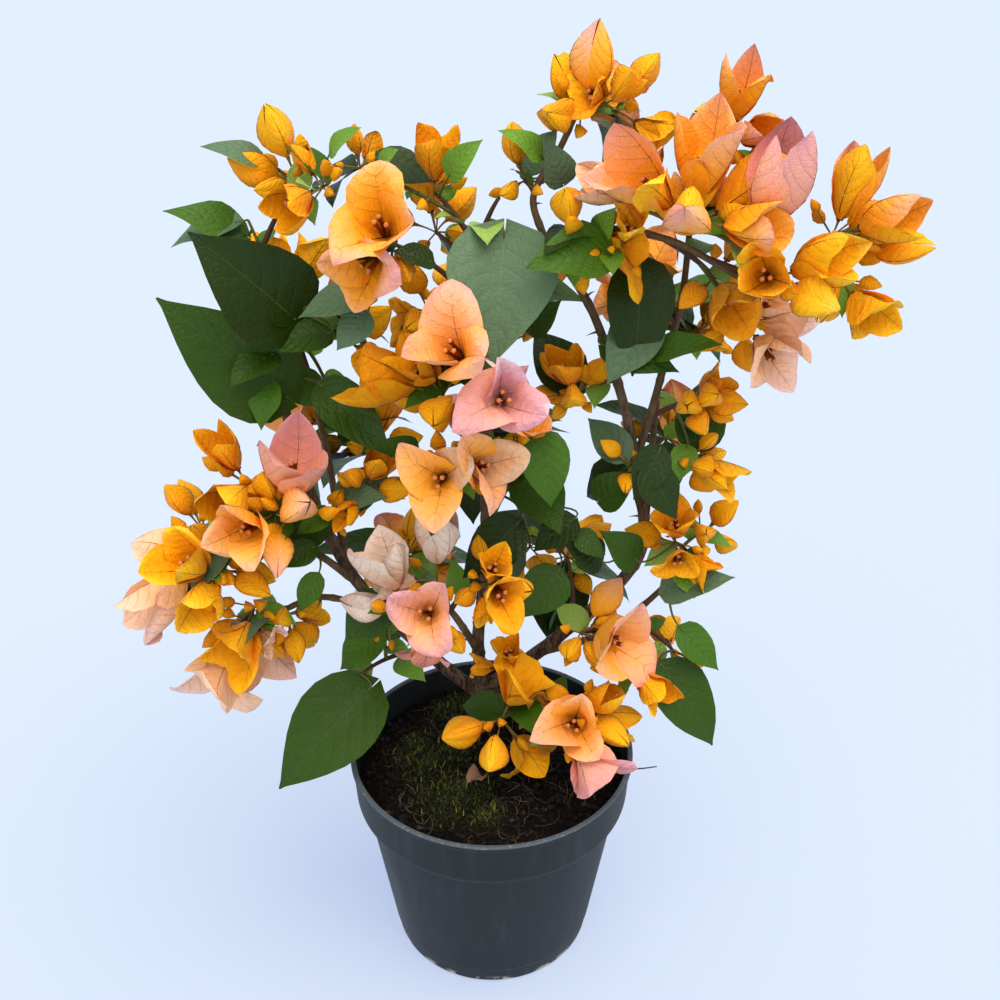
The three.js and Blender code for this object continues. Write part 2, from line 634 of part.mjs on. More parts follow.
/**
 * The blooms, lanterns and leaves of one spray, round the knob at its heart. Blooms may press into
 * one another, as they do in life; lanterns and leaves find room between them.
 */
function growSpray(row, seed, rivals, guards) {
  const grown = [solidFrom(knob(row.heart, KNOB_RADIUS))];
  row.heartZone = solidFrom(knob(row.heart, HEART_ZONE));
  for (let i = 0; i < row.blooms + row.lanterns; i += 1) {
    const neighbours = i < row.blooms ? [] : grown;
    const make = (scale, extraTurn) => headGeometry(row, seed, i, scale, extraTurn);
    grown.push(...grownElement(make, row, rivals, guards, neighbours));
  }
  for (let j = 0; j < row.leaves; j += 1) {
    const make = (scale, extraTurn) => leafGeometry(row, seed, j, scale, extraTurn);
    grown.push(...grownElement(make, row, rivals, guards, grown));
  }
  return grown;
}

/** The tubes of a mass's stem and twigs, swollen by a given amount, as a list of solids. */
function stemSolids({ stems }, swell) {
  return stems.map(({ curve, radiusAt, shape }) => solidFrom(tube(curve, radiusAt, shape, swell)));
}

/** Stems first, for every mass, so that the blooms and leaves of all masses keep clear of them. */
function prepareStems(limbGuard) {
  for (const row of MASSES) {
    for (const sprayRow of row.sprays) {
      sprayRow.heart = heartOf(sprayRow);
    }
    row.stems = stemsOf(row);
    row.start = row.stems[0].curve.getPointAt(0);
    row.stemSolid = largestBody(unionOf(stemSolids(row, 0)).subtract(limbGuard));
    const knobGuards = row.sprays.map(({ heart }) => solidFrom(knob(heart, KNOB_RADIUS + 2 * CLEARANCE)));
    row.stemGuard = unionOf([...stemSolids(row, CLEARANCE), ...knobGuards]);
  }
}

/** Everything that no bloom or leaf may touch near the pot: the pot's full outline, and a margin. */
function potOutline() {
  const radius = POT.rimRadius + POT_MARGIN;
  const geometry = new THREE.CylinderGeometry(radius, radius, POT.height, POT.facets);
  geometry.rotateX(Math.PI / 2);
  geometry.translate(0, 0, POT.height / 2 + POT_MARGIN);
  return geometry;
}

function growMass(row, number, fixedGuards) {
  const others = MASSES.filter((other) => other !== row);
  const grownAlready = MASSES.slice(0, number).map((other) => other.solid);
  const guards = [...fixedGuards, ...others.map((other) => other.stemGuard), ...grownAlready];
  const rivals = others.flatMap((other) => other.sprays.map(({ centre }) => centre));
  const parts = [row.stemSolid];
  row.sprays.forEach((sprayRow, index) => {
    parts.push(...growSpray(sprayRow, number * 10 + index + 1, rivals, guards));
  });
  row.solid = largestBody(unionOf(parts));
}

// ---------------------------------------------------------------------------------------------
// Scene graph
// ---------------------------------------------------------------------------------------------

function material(colour, roughness) {
  return new THREE.MeshStandardMaterial({ color: colour, roughness, metalness: 0 });
}

/** A mesh whose own origin is the point where the piece starts. */
function nodeAt(name, geometry, start, finish) {
  geometry.translate(-start.x, -start.y, -start.z);
  const mesh = new THREE.Mesh(geometry, finish);
  mesh.name = name;
  mesh.position.copy(start);
  return mesh;
}

function potGroup() {
  const group = new THREE.Group();
  const origin = new THREE.Vector3();
  group.add(nodeAt("pot", potGeometry(), origin, material(COLOURS.plastic, 0.6)));
  group.add(nodeAt("soil", soilGeometry(), origin, material(COLOURS.soil, 0.95)));
  return group;
}

function limbGroup() {
  const group = new THREE.Group();
  growTrunk();
  LIMBS.forEach(growLimb);
  for (const { name, solid, start } of limbs.values()) {
    group.add(nodeAt(name, geometryFrom(solid), start, material(COLOURS.bark, 0.8)));
  }
  return group;
}

function foliageGroup() {
  const group = new THREE.Group();
  const limbGuard = unionOf([...limbs.values()].map((entry) => entry.guard));
  const potGuard = solidFrom(potOutline());
  prepareStems(limbGuard);
  MASSES.forEach((row, number) => {
    growMass(row, number, [limbGuard, potGuard]);
    group.add(nodeAt(row.name, geometryFrom(row.solid), row.start, material(COLOURS[row.tone], 0.7)));
  });
  return group;
}

const plant = new THREE.Group();
plant.add(potGroup());
plant.add(limbGroup());
plant.add(foliageGroup());

export default plant;
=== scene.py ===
"""A potted bougainvillea bush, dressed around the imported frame: pot, soil, bark, leaves and blossom."""

import json
import logging
import math
from dataclasses import dataclass, field
from enum import Enum

import bpy
import numpy as np
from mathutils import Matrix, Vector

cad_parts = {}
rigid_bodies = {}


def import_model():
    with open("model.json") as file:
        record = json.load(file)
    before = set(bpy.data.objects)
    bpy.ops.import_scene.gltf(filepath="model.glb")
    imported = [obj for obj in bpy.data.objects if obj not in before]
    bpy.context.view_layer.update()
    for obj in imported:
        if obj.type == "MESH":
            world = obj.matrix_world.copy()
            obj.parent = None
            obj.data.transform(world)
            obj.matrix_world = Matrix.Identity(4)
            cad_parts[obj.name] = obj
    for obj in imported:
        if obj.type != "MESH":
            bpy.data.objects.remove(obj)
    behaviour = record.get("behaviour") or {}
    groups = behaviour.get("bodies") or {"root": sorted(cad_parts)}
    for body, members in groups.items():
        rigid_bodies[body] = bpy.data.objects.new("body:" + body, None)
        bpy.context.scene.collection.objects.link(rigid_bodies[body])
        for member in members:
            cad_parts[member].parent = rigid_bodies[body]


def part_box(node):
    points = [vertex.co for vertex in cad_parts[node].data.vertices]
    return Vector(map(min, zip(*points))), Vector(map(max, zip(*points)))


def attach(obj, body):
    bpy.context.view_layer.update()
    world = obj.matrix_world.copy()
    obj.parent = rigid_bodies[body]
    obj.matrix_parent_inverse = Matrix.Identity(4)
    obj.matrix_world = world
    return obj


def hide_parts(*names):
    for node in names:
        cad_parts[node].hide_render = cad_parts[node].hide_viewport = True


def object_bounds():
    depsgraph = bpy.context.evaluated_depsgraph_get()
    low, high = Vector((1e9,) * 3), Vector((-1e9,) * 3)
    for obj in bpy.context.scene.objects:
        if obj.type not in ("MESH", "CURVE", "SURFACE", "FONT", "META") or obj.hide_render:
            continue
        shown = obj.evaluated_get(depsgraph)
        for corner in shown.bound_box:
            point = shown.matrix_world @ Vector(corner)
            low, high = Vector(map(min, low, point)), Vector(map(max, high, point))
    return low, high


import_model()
CAD_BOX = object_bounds()

LOG = logging.getLogger("bougainvillea")
MM = 0.001
BODY = "root"
GOLDEN_ANGLE = math.pi * (3 - math.sqrt(5))
UP = np.array((0.0, 0.0, 1.0))

# Side veins of a blade: where the first leaves the midrib, the gap to the next, how far each runs on along the
# blade and how far out, as shares of the length and the half width, and the power that its run is bowed by.
VEIN_FIRST = 0.08
VEIN_GAP = 0.15
VEIN_RUN = 0.25
VEIN_REACH = 0.82
VEIN_BOW = 0.85


# ---------------------------------------------------------------- small tools


def unit(vector: np.ndarray) -> np.ndarray:
    """Return the vector, or each row of vectors, divided by its length."""
    return vector / np.maximum(np.linalg.norm(vector, axis=-1, keepdims=True), 1e-12)


def draw(seed: float, i: float, k: float) -> float:
    """Return a seeded number from 0 to 1, the fraction of sin(12.9898 seed + 78.233 i + 37.719 k) * 43758.5453."""
    value = math.sin(seed * 12.9898 + i * 78.233 + k * 37.719) * 43758.5453
    return value - math.floor(value)


def draws(count: int, seed: float, k: float) -> np.ndarray:
    """Return the seeded numbers of a whole row at once.

    Args:
        count: How many numbers.
        seed: The row's seed.
        k: Which draw of each item it is.

    Returns:
        The numbers, from 0 to 1.
    """
    value = np.sin(seed * 12.9898 + np.arange(count) * 78.233 + k * 37.719) * 43758.5453
    return value - np.floor(value)


def mix(a: float, b: float, share: float) -> float:
    """Return the value that lies the share of the way from a to b."""
    return a + (b - a) * share


def across_axis(axis: np.ndarray) -> tuple[np.ndarray, np.ndarray]:
    """Return two unit vectors square to the axis and to each other.

    Args:
        axis: A unit vector.

    Returns:
        The reference crossed with the axis, and the axis crossed with that.
    """
    reference = np.array((1.0, 0.0, 0.0)) if abs(axis[2]) > 0.95 else UP
    first = unit(np.cross(reference, axis))
    return first, np.cross(axis, first)


def tilted(axis: np.ndarray, angle: float, turn: float) -> np.ndarray:
    """Return the axis leaned by an angle towards a direction around it.

    Args:
        axis: A unit vector.
        angle: How far it leans, in radians.
        turn: Which way around the axis it leans, in radians.

    Returns:
        cos(angle) axis + sin(angle) (cos(turn) first + sin(turn) second).
    """
    first, second = across_axis(axis)
    return math.cos(angle) * axis + math.sin(angle) * (math.cos(turn) * first + math.sin(turn) * second)


def bezier(start: np.ndarray, middle: np.ndarray, end: np.ndarray, share: np.ndarray) -> np.ndarray:
    """Return points of the quadratic curve (1-t)^2 start + 2t(1-t) middle + t^2 end."""
    t = np.asarray(share, float)[..., None]
    return (1 - t) ** 2 * start + 2 * t * (1 - t) * middle + t**2 * end


# ---------------------------------------------------------------- meshes


@dataclass
class Patchwork:
    """Collects grids, tubes and lumps of one kind and joins them into one mesh.

    Attributes:
        name: The finished piece's name.
        slot: The record's material slot, which is not used.
        materials: The materials that the tones of its faces count through.
    """

    name: str
    slot: str
    materials: list[bpy.types.Material]
    points: list[np.ndarray] = field(default_factory=list)
    corners: list[np.ndarray] = field(default_factory=list)
    sizes: list[np.ndarray] = field(default_factory=list)
    tones: list[np.ndarray] = field(default_factory=list)
    marks: dict[str, list[np.ndarray]] = field(default_factory=dict)
    count: int = 0

    def add(self, points: np.ndarray, faces: list[np.ndarray], tones: np.ndarray | int = 0, **marks: np.ndarray) -> None:
        """Take in one shape.

        Args:
            points: Its corners, n by 3, in metres.
            faces: Arrays of faces, each with one row a face and one column a corner.
            tones: The material number of each face, or one for all.
            marks: Named values, one a point, that become attributes.
        """
        self.points.append(points.reshape(-1, 3))
        number = sum(len(group) for group in faces)
        for group in faces:
            self.corners.append((group + self.count).ravel())
            self.sizes.append(np.full(len(group), group.shape[1], np.int32))
        self.tones.append(np.broadcast_to(np.asarray(tones, np.int32), (number,)))
        for mark, values in marks.items():
            self.marks.setdefault(mark, []).append(values.ravel())
        self.count += len(self.points[-1])

    def finish(self, nodes: list[str]) -> bpy.types.Object:
        """Make the joined mesh, set it in the frame and hide the CAD nodes that it replaces.

        Args:
            nodes: The CAD nodes that the piece replaces.

        Returns:
            The finished piece.
        """
        points = np.concatenate(self.points).astype(np.float32)
        corners = np.concatenate(self.corners).astype(np.int32)
        sizes = np.concatenate(self.sizes)
        mesh = bpy.data.meshes.new(self.name)
        mesh.vertices.add(len(points))
        mesh.vertices.foreach_set("co", points.ravel())
        mesh.loops.add(len(corners))
        mesh.loops.foreach_set("vertex_index", corners)
        mesh.polygons.add(len(sizes))
        mesh.polygons.foreach_set("loop_start", np.concatenate(([0], np.cumsum(sizes)[:-1])).astype(np.int32))
        mesh.polygons.foreach_set("material_index", np.concatenate(self.tones).astype(np.int32))
        mesh.polygons.foreach_set("use_smooth", np.ones(len(sizes), bool))
        for mark, values in self.marks.items():
            attribute = mesh.attributes.new(mark, "FLOAT", "POINT")
            attribute.data.foreach_set("value", np.concatenate(values).astype(np.float32))
        mesh.update(calc_edges=True)
        mesh.validate()
        for material in self.materials:
            mesh.materials.append(material)
        piece = bpy.data.objects.new(self.name, mesh)
        bpy.context.scene.collection.objects.link(piece)
        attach(piece, BODY)
        if nodes:
            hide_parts(*nodes)
        triangles = int((sizes - 2).sum())
        LOG.info("%s: %d faces, %d triangles", self.name, len(sizes), triangles)
        return piece


def grid_faces(rows: int, columns: int, closed: bool = False) -> np.ndarray:
    """Return the quads of a grid of points that is stored row by row.

    Args:
        rows: Points along the first way.
        columns: Points along the second way.
        closed: Whether the last column joins the first.

    Returns:
        Four point numbers a face, turned so that second way x first way points outwards.
    """
    row = np.arange(rows - 1)[:, None] * columns
    column = np.arange(columns if closed else columns - 1)[None, :]
    after = (column + 1) % columns
    quads = np.stack((row + column, row + after, row + columns + after, row + columns + column), axis=-1)
    return quads.reshape(-1, 4)


def tube(path: np.ndarray, radii: np.ndarray, sides: int) -> tuple[np.ndarray, list[np.ndarray]]:
    """Sweep a ring along a path and close both ends with one face each.

    The ring at each point is path + radius (cos a side + sin a up), where side is a fixed reference made square to
    the path there, and up is the path's direction crossed with side.

    Args:
        path: Points of the centre line, n by 3.
        radii: The radius at each point, or at each point and side.
        sides: Points around the ring.

    Returns:
        The points, n by sides by 3, and the faces.
    """
    along = unit(np.gradient(path, axis=0))
    choices = np.array(((1, 0, 0), (0, 1, 0), (0, 0, 1), (0.7, 0.7, 0), (0.7, -0.7, 0), (0.6, 0, 0.8)), float)
    reference = choices[np.argmin(np.abs(along @ choices.T).max(axis=0))]
    side = unit(reference - (along @ reference)[:, None] * along)
    up = np.cross(along, side)
    angle = np.linspace(0, 2 * math.pi, sides, endpoint=False)
    ring = np.cos(angle)[None, :, None] * side[:, None] + np.sin(angle)[None, :, None] * up[:, None]
    width = np.asarray(radii, float)
    width = width[:, None] if width.ndim == 1 else width
    points = path[:, None] + ring * width[..., None]
    last = (len(path) - 1) * sides
    ends = np.stack((np.arange(sides)[::-1], last + np.arange(sides)))
    return points, [grid_faces(len(path), sides, closed=True), ends]


# ---------------------------------------------------------------- finishes


class NodeTree:
    """A node tree with short calls for its nodes and links."""

    def __init__(self, tree: bpy.types.NodeTree) -> None:
        """Keep the tree that the calls work on."""
        self.tree = tree

    def node(self, kind: str, **values: object) -> bpy.types.Node:
        """Add a node.

        Args:
            kind: The node's type, without the leading ShaderNode.
            values: Its settings by name, and its sockets by name with spaces as underscores.

        Returns:
            The node.
        """
        made = self.tree.nodes.new(kind if kind.startswith("Node") else "ShaderNode" + kind)
        for name, value in values.items():
            if hasattr(made, name):
                setattr(made, name, value)
            else:
                made.inputs[name.replace("_", " ")].default_value = value
        return made

    def link(self, source: bpy.types.NodeSocket, target: bpy.types.NodeSocket) -> None:
        """Join an output to an input."""
        self.tree.links.new(source, target)

    def ramp(self, value: bpy.types.NodeSocket, low: float, high: float) -> bpy.types.NodeSocket:
        """Return the value spread from low..high to 0..1, softly at both ends."""
        made = self.node("MapRange", interpolation_type="SMOOTHSTEP")
        made.inputs["From Min"].default_value = low
        made.inputs["From Max"].default_value = high
        self.link(value, made.inputs["Value"])
        return made.outputs["Result"]

    def spread(self, value: bpy.types.NodeSocket, low: float, high: float) -> bpy.types.NodeSocket:
        """Return a value of 0..1 spread to low..high."""
        made = self.node("MapRange")
        made.inputs["To Min"].default_value = low
        made.inputs["To Max"].default_value = high
        self.link(value, made.inputs["Value"])
        return made.outputs["Result"]

    def maths(self, operation: str, a: object, b: object) -> bpy.types.NodeSocket:
        """Return the result of a sum on two sockets or numbers."""
        made = self.node("Math", operation=operation)
        for socket, value in zip(made.inputs, (a, b)):
            if isinstance(value, bpy.types.NodeSocket):
                self.link(value, socket)
            else:
                socket.default_value = value
        return made.outputs[0]

    def blend(self, share: bpy.types.NodeSocket, a: object, b: object) -> bpy.types.NodeSocket:
        """Return a colour mixed from two sockets or plain colours."""
        made = self.node("Mix", data_type="RGBA")
        self.link(share, made.inputs["Factor"])
        for socket, value in zip((made.inputs[6], made.inputs[7]), (a, b)):
            if isinstance(value, bpy.types.NodeSocket):
                self.link(value, socket)
            else:
                socket.default_value = (*value, 1.0)
        return made.outputs[2]


def new_group(name: str, values: dict[str, float], outputs: tuple[str, ...]) -> tuple[NodeTree, object, object]:
    """Start a shader node group.

    Args:
        name: The group's name.
        values: Its inputs, each a number with its usual value.
        outputs: Its outputs, each a number.

    Returns:
        The group's tree, its input node and its output node.
    """
    group = bpy.data.node_groups.new(name, "ShaderNodeTree")
    for socket, value in values.items():
        made = group.interface.new_socket(socket, in_out="INPUT", socket_type="NodeSocketFloat")
        made.default_value = value
    for socket in outputs:
        group.interface.new_socket(socket, in_out="OUTPUT", socket_type="NodeSocketFloat")
    tree = NodeTree(group)
    return tree, tree.node("NodeGroupInput"), tree.node("NodeGroupOutput")


def blade_grain_group() -> bpy.types.NodeTree:
    """Build the fine net of veins, the soft puckers and the quilting that leaves and bracts share.

    The quilting stands highest halfway between two side veins: |sin(pi (run - RUN (side / REACH)^(1 / BOW) - FIRST)
    / GAP)|^0.7, where run and side are the blade's own attributes.

    Returns:
        A group that takes Cell and Pucker, both per metre, and Quilt, and puts out Height and Mottle.
    """
    values = {"Cell": 300.0, "Pucker": 120.0, "Quilt": 0.45}
    tree, given, out = new_group("blade_grain", values, ("Height", "Mottle"))
    side = tree.node("Attribute", attribute_name="side").outputs["Fac"]
    run = tree.node("Attribute", attribute_name="run").outputs["Fac"]
    bowed = tree.maths("POWER", tree.maths("DIVIDE", side, VEIN_REACH), 1 / VEIN_BOW)
    start = tree.maths("SUBTRACT", run, tree.maths("MULTIPLY", bowed, VEIN_RUN))
    phase = tree.maths("MULTIPLY", tree.maths("SUBTRACT", start, VEIN_FIRST), math.pi / VEIN_GAP)
    pillow = tree.maths("POWER", tree.maths("ABSOLUTE", tree.maths("SINE", phase, 0.0), 0.0), 0.7)
    quilt = tree.maths("MULTIPLY", pillow, given.outputs["Quilt"])
    place = tree.node("TexCoord").outputs["Object"]
    net = tree.node("TexVoronoi", feature="DISTANCE_TO_EDGE")
    tree.link(place, net.inputs["Vector"])
    tree.link(given.outputs["Cell"], net.inputs["Scale"])
    pucker = tree.node("TexNoise", Detail=3.0)
    tree.link(place, pucker.inputs["Vector"])
    tree.link(given.outputs["Pucker"], pucker.inputs["Scale"])
    groove = tree.ramp(net.outputs["Distance"], 0.0, 0.14)
    height = tree.maths("ADD", tree.maths("MULTIPLY", groove, 0.3), pucker.outputs[0])
    tree.link(tree.maths("ADD", height, quilt), out.inputs["Height"])
    tree.link(tree.ramp(pucker.outputs[0], 0.3, 0.7), out.inputs["Mottle"])
    return tree.tree


def mottle_group() -> bpy.types.NodeTree:
    """Build the cloudy mask that pot, bark and soil share.

    Returns:
        A group that takes Scale, Low and High, with Tall to draw it out upwards, and puts out Mask.
    """
    values = {"Scale": 60.0, "Low": 0.35, "High": 0.65, "Tall": 1.0}
    tree, given, out = new_group("mottle", values, ("Mask",))
    squash = tree.node("CombineXYZ", X=1.0, Y=1.0)
    tree.link(tree.maths("DIVIDE", 1.0, given.outputs["Tall"]), squash.inputs["Z"])
    place = tree.node("VectorMath", operation="MULTIPLY")
    tree.link(tree.node("TexCoord").outputs["Object"], place.inputs[0])
    tree.link(squash.outputs[0], place.inputs[1])
    cloud = tree.node("TexNoise", Detail=5.0, Roughness=0.6)
    tree.link(place.outputs[0], cloud.inputs["Vector"])
    tree.link(given.outputs["Scale"], cloud.inputs["Scale"])
    band = tree.node("MapRange", interpolation_type="SMOOTHSTEP")
    tree.link(cloud.outputs[0], band.inputs["Value"])
    tree.link(given.outputs["Low"], band.inputs["From Min"])
    tree.link(given.outputs["High"], band.inputs["From Max"])
    tree.link(band.outputs["Result"], out.inputs["Mask"])
    return tree.tree


class Groups:
    """The node groups that several finishes share, each built once."""

    made: dict[str, bpy.types.NodeTree] = {}

    @classmethod
    def place(cls, tree: NodeTree, name: str, **values: float) -> bpy.types.Node:
        """Put a shared group into a material.

        Args:
            tree: The material's tree.
            name: Which group.
            values: Its inputs.

        Returns:
            The group's node.
        """
        if name not in cls.made:
            cls.made[name] = {"blade_grain": blade_grain_group, "mottle": mottle_group}[name]()
        made = tree.node("Group", node_tree=cls.made[name])
        for socket, value in values.items():
            made.inputs[socket].default_value = value
        return made


def linear(code: str) -> tuple[float, float, float]:
    """Return the linear colour of a six-figure web colour code."""
    parts = np.array([int(code[i : i + 2], 16) for i in (0, 2, 4)]) / 255
    return tuple(float(c) for c in np.where(parts < 0.04045, parts / 12.92, ((parts + 0.055) / 1.055) ** 2.4))


def new_material(name: str, roughness: float, specular: float = 0.5) -> tuple[bpy.types.Material, NodeTree, object]:
    """Start a material.

    Args:
        name: Its name.
        roughness: Its plain roughness.
        specular: Its plain specular level.

    Returns:
        The material, its tree and its Principled shader.
    """
    material = bpy.data.materials.new(name)
    material.use_nodes = True
    tree = NodeTree(material.node_tree)
    shader = material.node_tree.nodes["Principled BSDF"]
    shader.inputs["Roughness"].default_value = roughness
    shader.inputs["Specular IOR Level"].default_value = specular
    return material, tree, shader


@dataclass(frozen=True)
class BladeFinish:
    """The finish of a leaf or bract: one plain colour with a net of veins and soft puckers in its relief.

    Attributes:
        name: The material's name.
        colour: Its web colour code.
        roughness: Lowest and highest roughness.
        relief: How deep the relief is, in metres.
        cell: Cells of the vein net per metre.
        sheen: Weight of the papery or downy sheen.
        coat: Weight of the waxy coat.
        specular: Level of its mirror-like share.
    """

    name: str
    colour: str
    roughness: tuple[float, float] = (0.5, 0.68)
    relief: float = 0.0009
    cell: float = 420.0
    sheen: float = 0.03
    coat: float = 0.0
    specular: float = 0.14

    def material(self) -> bpy.types.Material:
        """Build the material."""
        material, tree, shader = new_material(self.name, self.roughness[0], self.specular)
        shader.inputs["Base Color"].default_value = (*linear(self.colour), 1.0)
        shader.inputs["Sheen Weight"].default_value = self.sheen
        shader.inputs["Sheen Roughness"].default_value = 0.4
        shader.inputs["Coat Weight"].default_value = self.coat
        shader.inputs["Coat Roughness"].default_value = 0.35
        grain = Groups.place(tree, "blade_grain", Cell=self.cell, Pucker=self.cell * 0.35)
        tree.link(tree.spread(grain.outputs["Mottle"], *self.roughness), shader.inputs["Roughness"])
        bump = tree.node("Bump", Strength=0.6, Distance=self.relief)
        tree.link(grain.outputs["Height"], bump.inputs["Height"])
        tree.link(bump.outputs["Normal"], shader.inputs["Normal"])
        return material


@dataclass(frozen=True)
class StalkFinish:
    """The finish of veins, tubes and thin green twigs: one plain colour with a faint grain."""

    name: str
    colour: str
    roughness: float = 0.5

    def material(self) -> bpy.types.Material:
        """Build the material."""
        material, tree, shader = new_material(self.name, self.roughness, 0.4)
        shader.inputs["Base Color"].default_value = (*linear(self.colour), 1.0)
        cloud = Groups.place(tree, "mottle", Scale=500.0, Tall=4.0)
        bump = tree.node("Bump", Strength=0.4, Distance=0.0002)
        tree.link(cloud.outputs["Mask"], bump.inputs["Height"])
        tree.link(bump.outputs["Normal"], shader.inputs["Normal"])
        low, high = self.roughness - 0.08, self.roughness + 0.12
        tree.link(tree.spread(cloud.outputs["Mask"], low, high), shader.inputs["Roughness"])
        return material


@dataclass(frozen=True)
class BarkFinish:
    """Woody stems: grey-brown and fissured where old, smooth olive-brown where young."""

    old: str = "6B5040"
    crack: str = "2A1C14"
    dust: str = "97826B"
    young: str = "5A4A26"

    def material(self) -> bpy.types.Material:
        """Build the material, which reads the age attribute, 0 where old and 1 where young."""
        material, tree, shader = new_material("bark", 0.8, 0.3)
        age = tree.node("Attribute", attribute_name="age").outputs["Fac"]
        fissure = Groups.place(tree, "mottle", Scale=620.0, Low=0.4, High=0.6, Tall=5.0).outputs["Mask"]
        cloud = Groups.place(tree, "mottle", Scale=140.0, Low=0.42, High=0.7, Tall=2.0).outputs["Mask"]
        wood = tree.blend(fissure, linear(self.crack), linear(self.old))
        wood = tree.blend(tree.maths("MULTIPLY", cloud, 0.6), wood, linear(self.dust))
        skin = tree.blend(cloud, linear(self.young), linear("6E4A2C"))
        tree.link(tree.blend(age, wood, skin), shader.inputs["Base Color"])
        tree.link(tree.spread(age, 0.86, 0.55), shader.inputs["Roughness"])
        depth = tree.maths("MULTIPLY", fissure, tree.spread(age, 1.0, 0.25))
        bump = tree.node("Bump", Strength=0.8, Distance=0.0005)
        tree.link(depth, bump.inputs["Height"])
        tree.link(bump.outputs["Normal"], shader.inputs["Normal"])
        return material


@dataclass(frozen=True)
class PlasticFinish:
    """Matte slate plastic with pale scuffs along the rim and the foot, faint water marks down the side, and a painted
    highlight: a lighter band around the top of the rim.
    """

    body: str = "171B1E"
    faded: str = "23282B"
    scuff: str = "B9AF9F"
    # The lighter colour of the rim's top band, a painted highlight.
    edge: str = "56606A"
    line_height: float = 0.0127
    rim_height: float = 0.1345
    foot_height: float = 0.0065

    def material(self) -> bpy.types.Material:
        """Build the material."""
        material, tree, shader = new_material("slate_plastic", 0.5, 0.22)
        height = tree.node("SeparateXYZ")
        tree.link(tree.node("TexCoord").outputs["Object"], height.inputs[0])
        z = height.outputs["Z"]
        cloud = Groups.place(tree, "mottle", Scale=22.0, Low=0.3, High=0.75, Tall=2.5).outputs["Mask"]
        streak = Groups.place(tree, "mottle", Scale=150.0, Low=0.5, High=0.8, Tall=14.0).outputs["Mask"]
        speck = Groups.place(tree, "mottle", Scale=420.0, Low=0.56, High=0.66).outputs["Mask"]
        patch = Groups.place(tree, "mottle", Scale=75.0, Low=0.48, High=0.56).outputs["Mask"]
        foot = tree.maths("MULTIPLY", tree.ramp(z, self.foot_height, 0.4 * self.foot_height), patch)
        # The rim's top band carries both the rim scuffs and the painted highlight.
        rim = tree.ramp(z, self.rim_height, self.rim_height + 0.001)
        offset = tree.maths("ABSOLUTE", tree.maths("SUBTRACT", z, self.line_height), 0.0)
        line = tree.maths("MULTIPLY", tree.ramp(offset, 0.0006, 0.0002), cloud)
        rim_rub = tree.maths("MULTIPLY", tree.maths("MULTIPLY", speck, rim), 0.5)
        rub = tree.maths("ADD", tree.maths("MULTIPLY", line, 0.4), rim_rub)
        wear = tree.maths("MAXIMUM", tree.maths("MULTIPLY", foot, 0.85), tree.maths("MULTIPLY", rub, 0.5))
        colour = tree.blend(cloud, linear(self.body), linear(self.faded))
        colour = tree.blend(tree.maths("MULTIPLY", streak, 0.12), colour, linear("59646A"))
        # Painted highlight: the rim's top band is lightened towards the edge colour.
        colour = tree.blend(tree.maths("MULTIPLY", rim, 0.7), colour, linear(self.edge))
        colour = tree.blend(wear, colour, linear(self.scuff))
        tree.link(colour, shader.inputs["Base Color"])
        rough = tree.maths("ADD", tree.spread(cloud, 0.44, 0.6), tree.maths("MULTIPLY", wear, 0.3))
        tree.link(rough, shader.inputs["Roughness"])
        grain = Groups.place(tree, "mottle", Scale=1400.0, Low=0.3, High=0.7).outputs["Mask"]
        bump = tree.node("Bump", Strength=0.25, Distance=0.0001)
        tree.link(tree.maths("SUBTRACT", grain, wear), bump.inputs["Height"])
        tree.link(bump.outputs["Normal"], shader.inputs["Normal"])
        return material


@dataclass(frozen=True)
class EarthFinish:
    """Damp black-brown potting soil with moss stains."""

    dark: str = "0B0907"
    light: str = "231912"
    moss: str = "434E14"

    def material(self) -> bpy.types.Material:
        """Build the material, which reads the moss attribute."""
        material, tree, shader = new_material("potting_soil", 0.95, 0.15)
        crumb = Groups.place(tree, "mottle", Scale=420.0, Low=0.4, High=0.68).outputs["Mask"]
        fuzz = Groups.place(tree, "mottle", Scale=900.0, Low=0.35, High=0.65).outputs["Mask"]
        moss = tree.node("Attribute", attribute_name="moss").outputs["Fac"]
        earth = tree.blend(crumb, linear(self.dark), linear(self.light))
        felt = tree.blend(fuzz, linear("171C08"), linear(self.moss))
        tree.link(tree.blend(tree.maths("MULTIPLY", moss, fuzz), earth, felt), shader.inputs["Base Color"])
        bump = tree.node("Bump", Strength=1.0, Distance=0.0012)
        tree.link(tree.maths("ADD", crumb, tree.maths("MULTIPLY", fuzz, 0.5)), bump.inputs["Height"])
        tree.link(bump.outputs["Normal"], shader.inputs["Normal"])
        tree.link(tree.spread(crumb, 0.98, 0.82), shader.inputs["Roughness"])
        return material


ROADS = {
    "sun": (
        "C87002", "E28604", "F49A06", "FDA812", "FFAB30", "FFAE56", "FBB07A", "F3A98E", "E89F96", "E19CA3", "F3C6C9"
    ),
    "gold": ("BE7200", "DA8C00", "F0A004", "FBB00C", "FFBE1C", "FFCF4A"),
    "ash": ("E0A066", "E2B48C", "E6CBB4", "DCC6B4", "C9A798"),
    "blush": ("F8B05C", "FCC080", "FFC99C", "FFCCAE", "FBD0C4"),
}


def road_codes(stops: tuple[str, ...]) -> list[str]:
    """Return the stops of a colour road with one in-between colour after each but the last."""
    parts = np.array([[int(code[i : i + 2], 16) for i in (0, 2, 4)] for code in stops])
    whole = np.empty((2 * len(parts) - 1, 3), int)
    whole[::2] = parts
    whole[1::2] = (parts[:-1] + parts[1:]) // 2
    return ["%02X%02X%02X" % tuple(row) for row in whole]


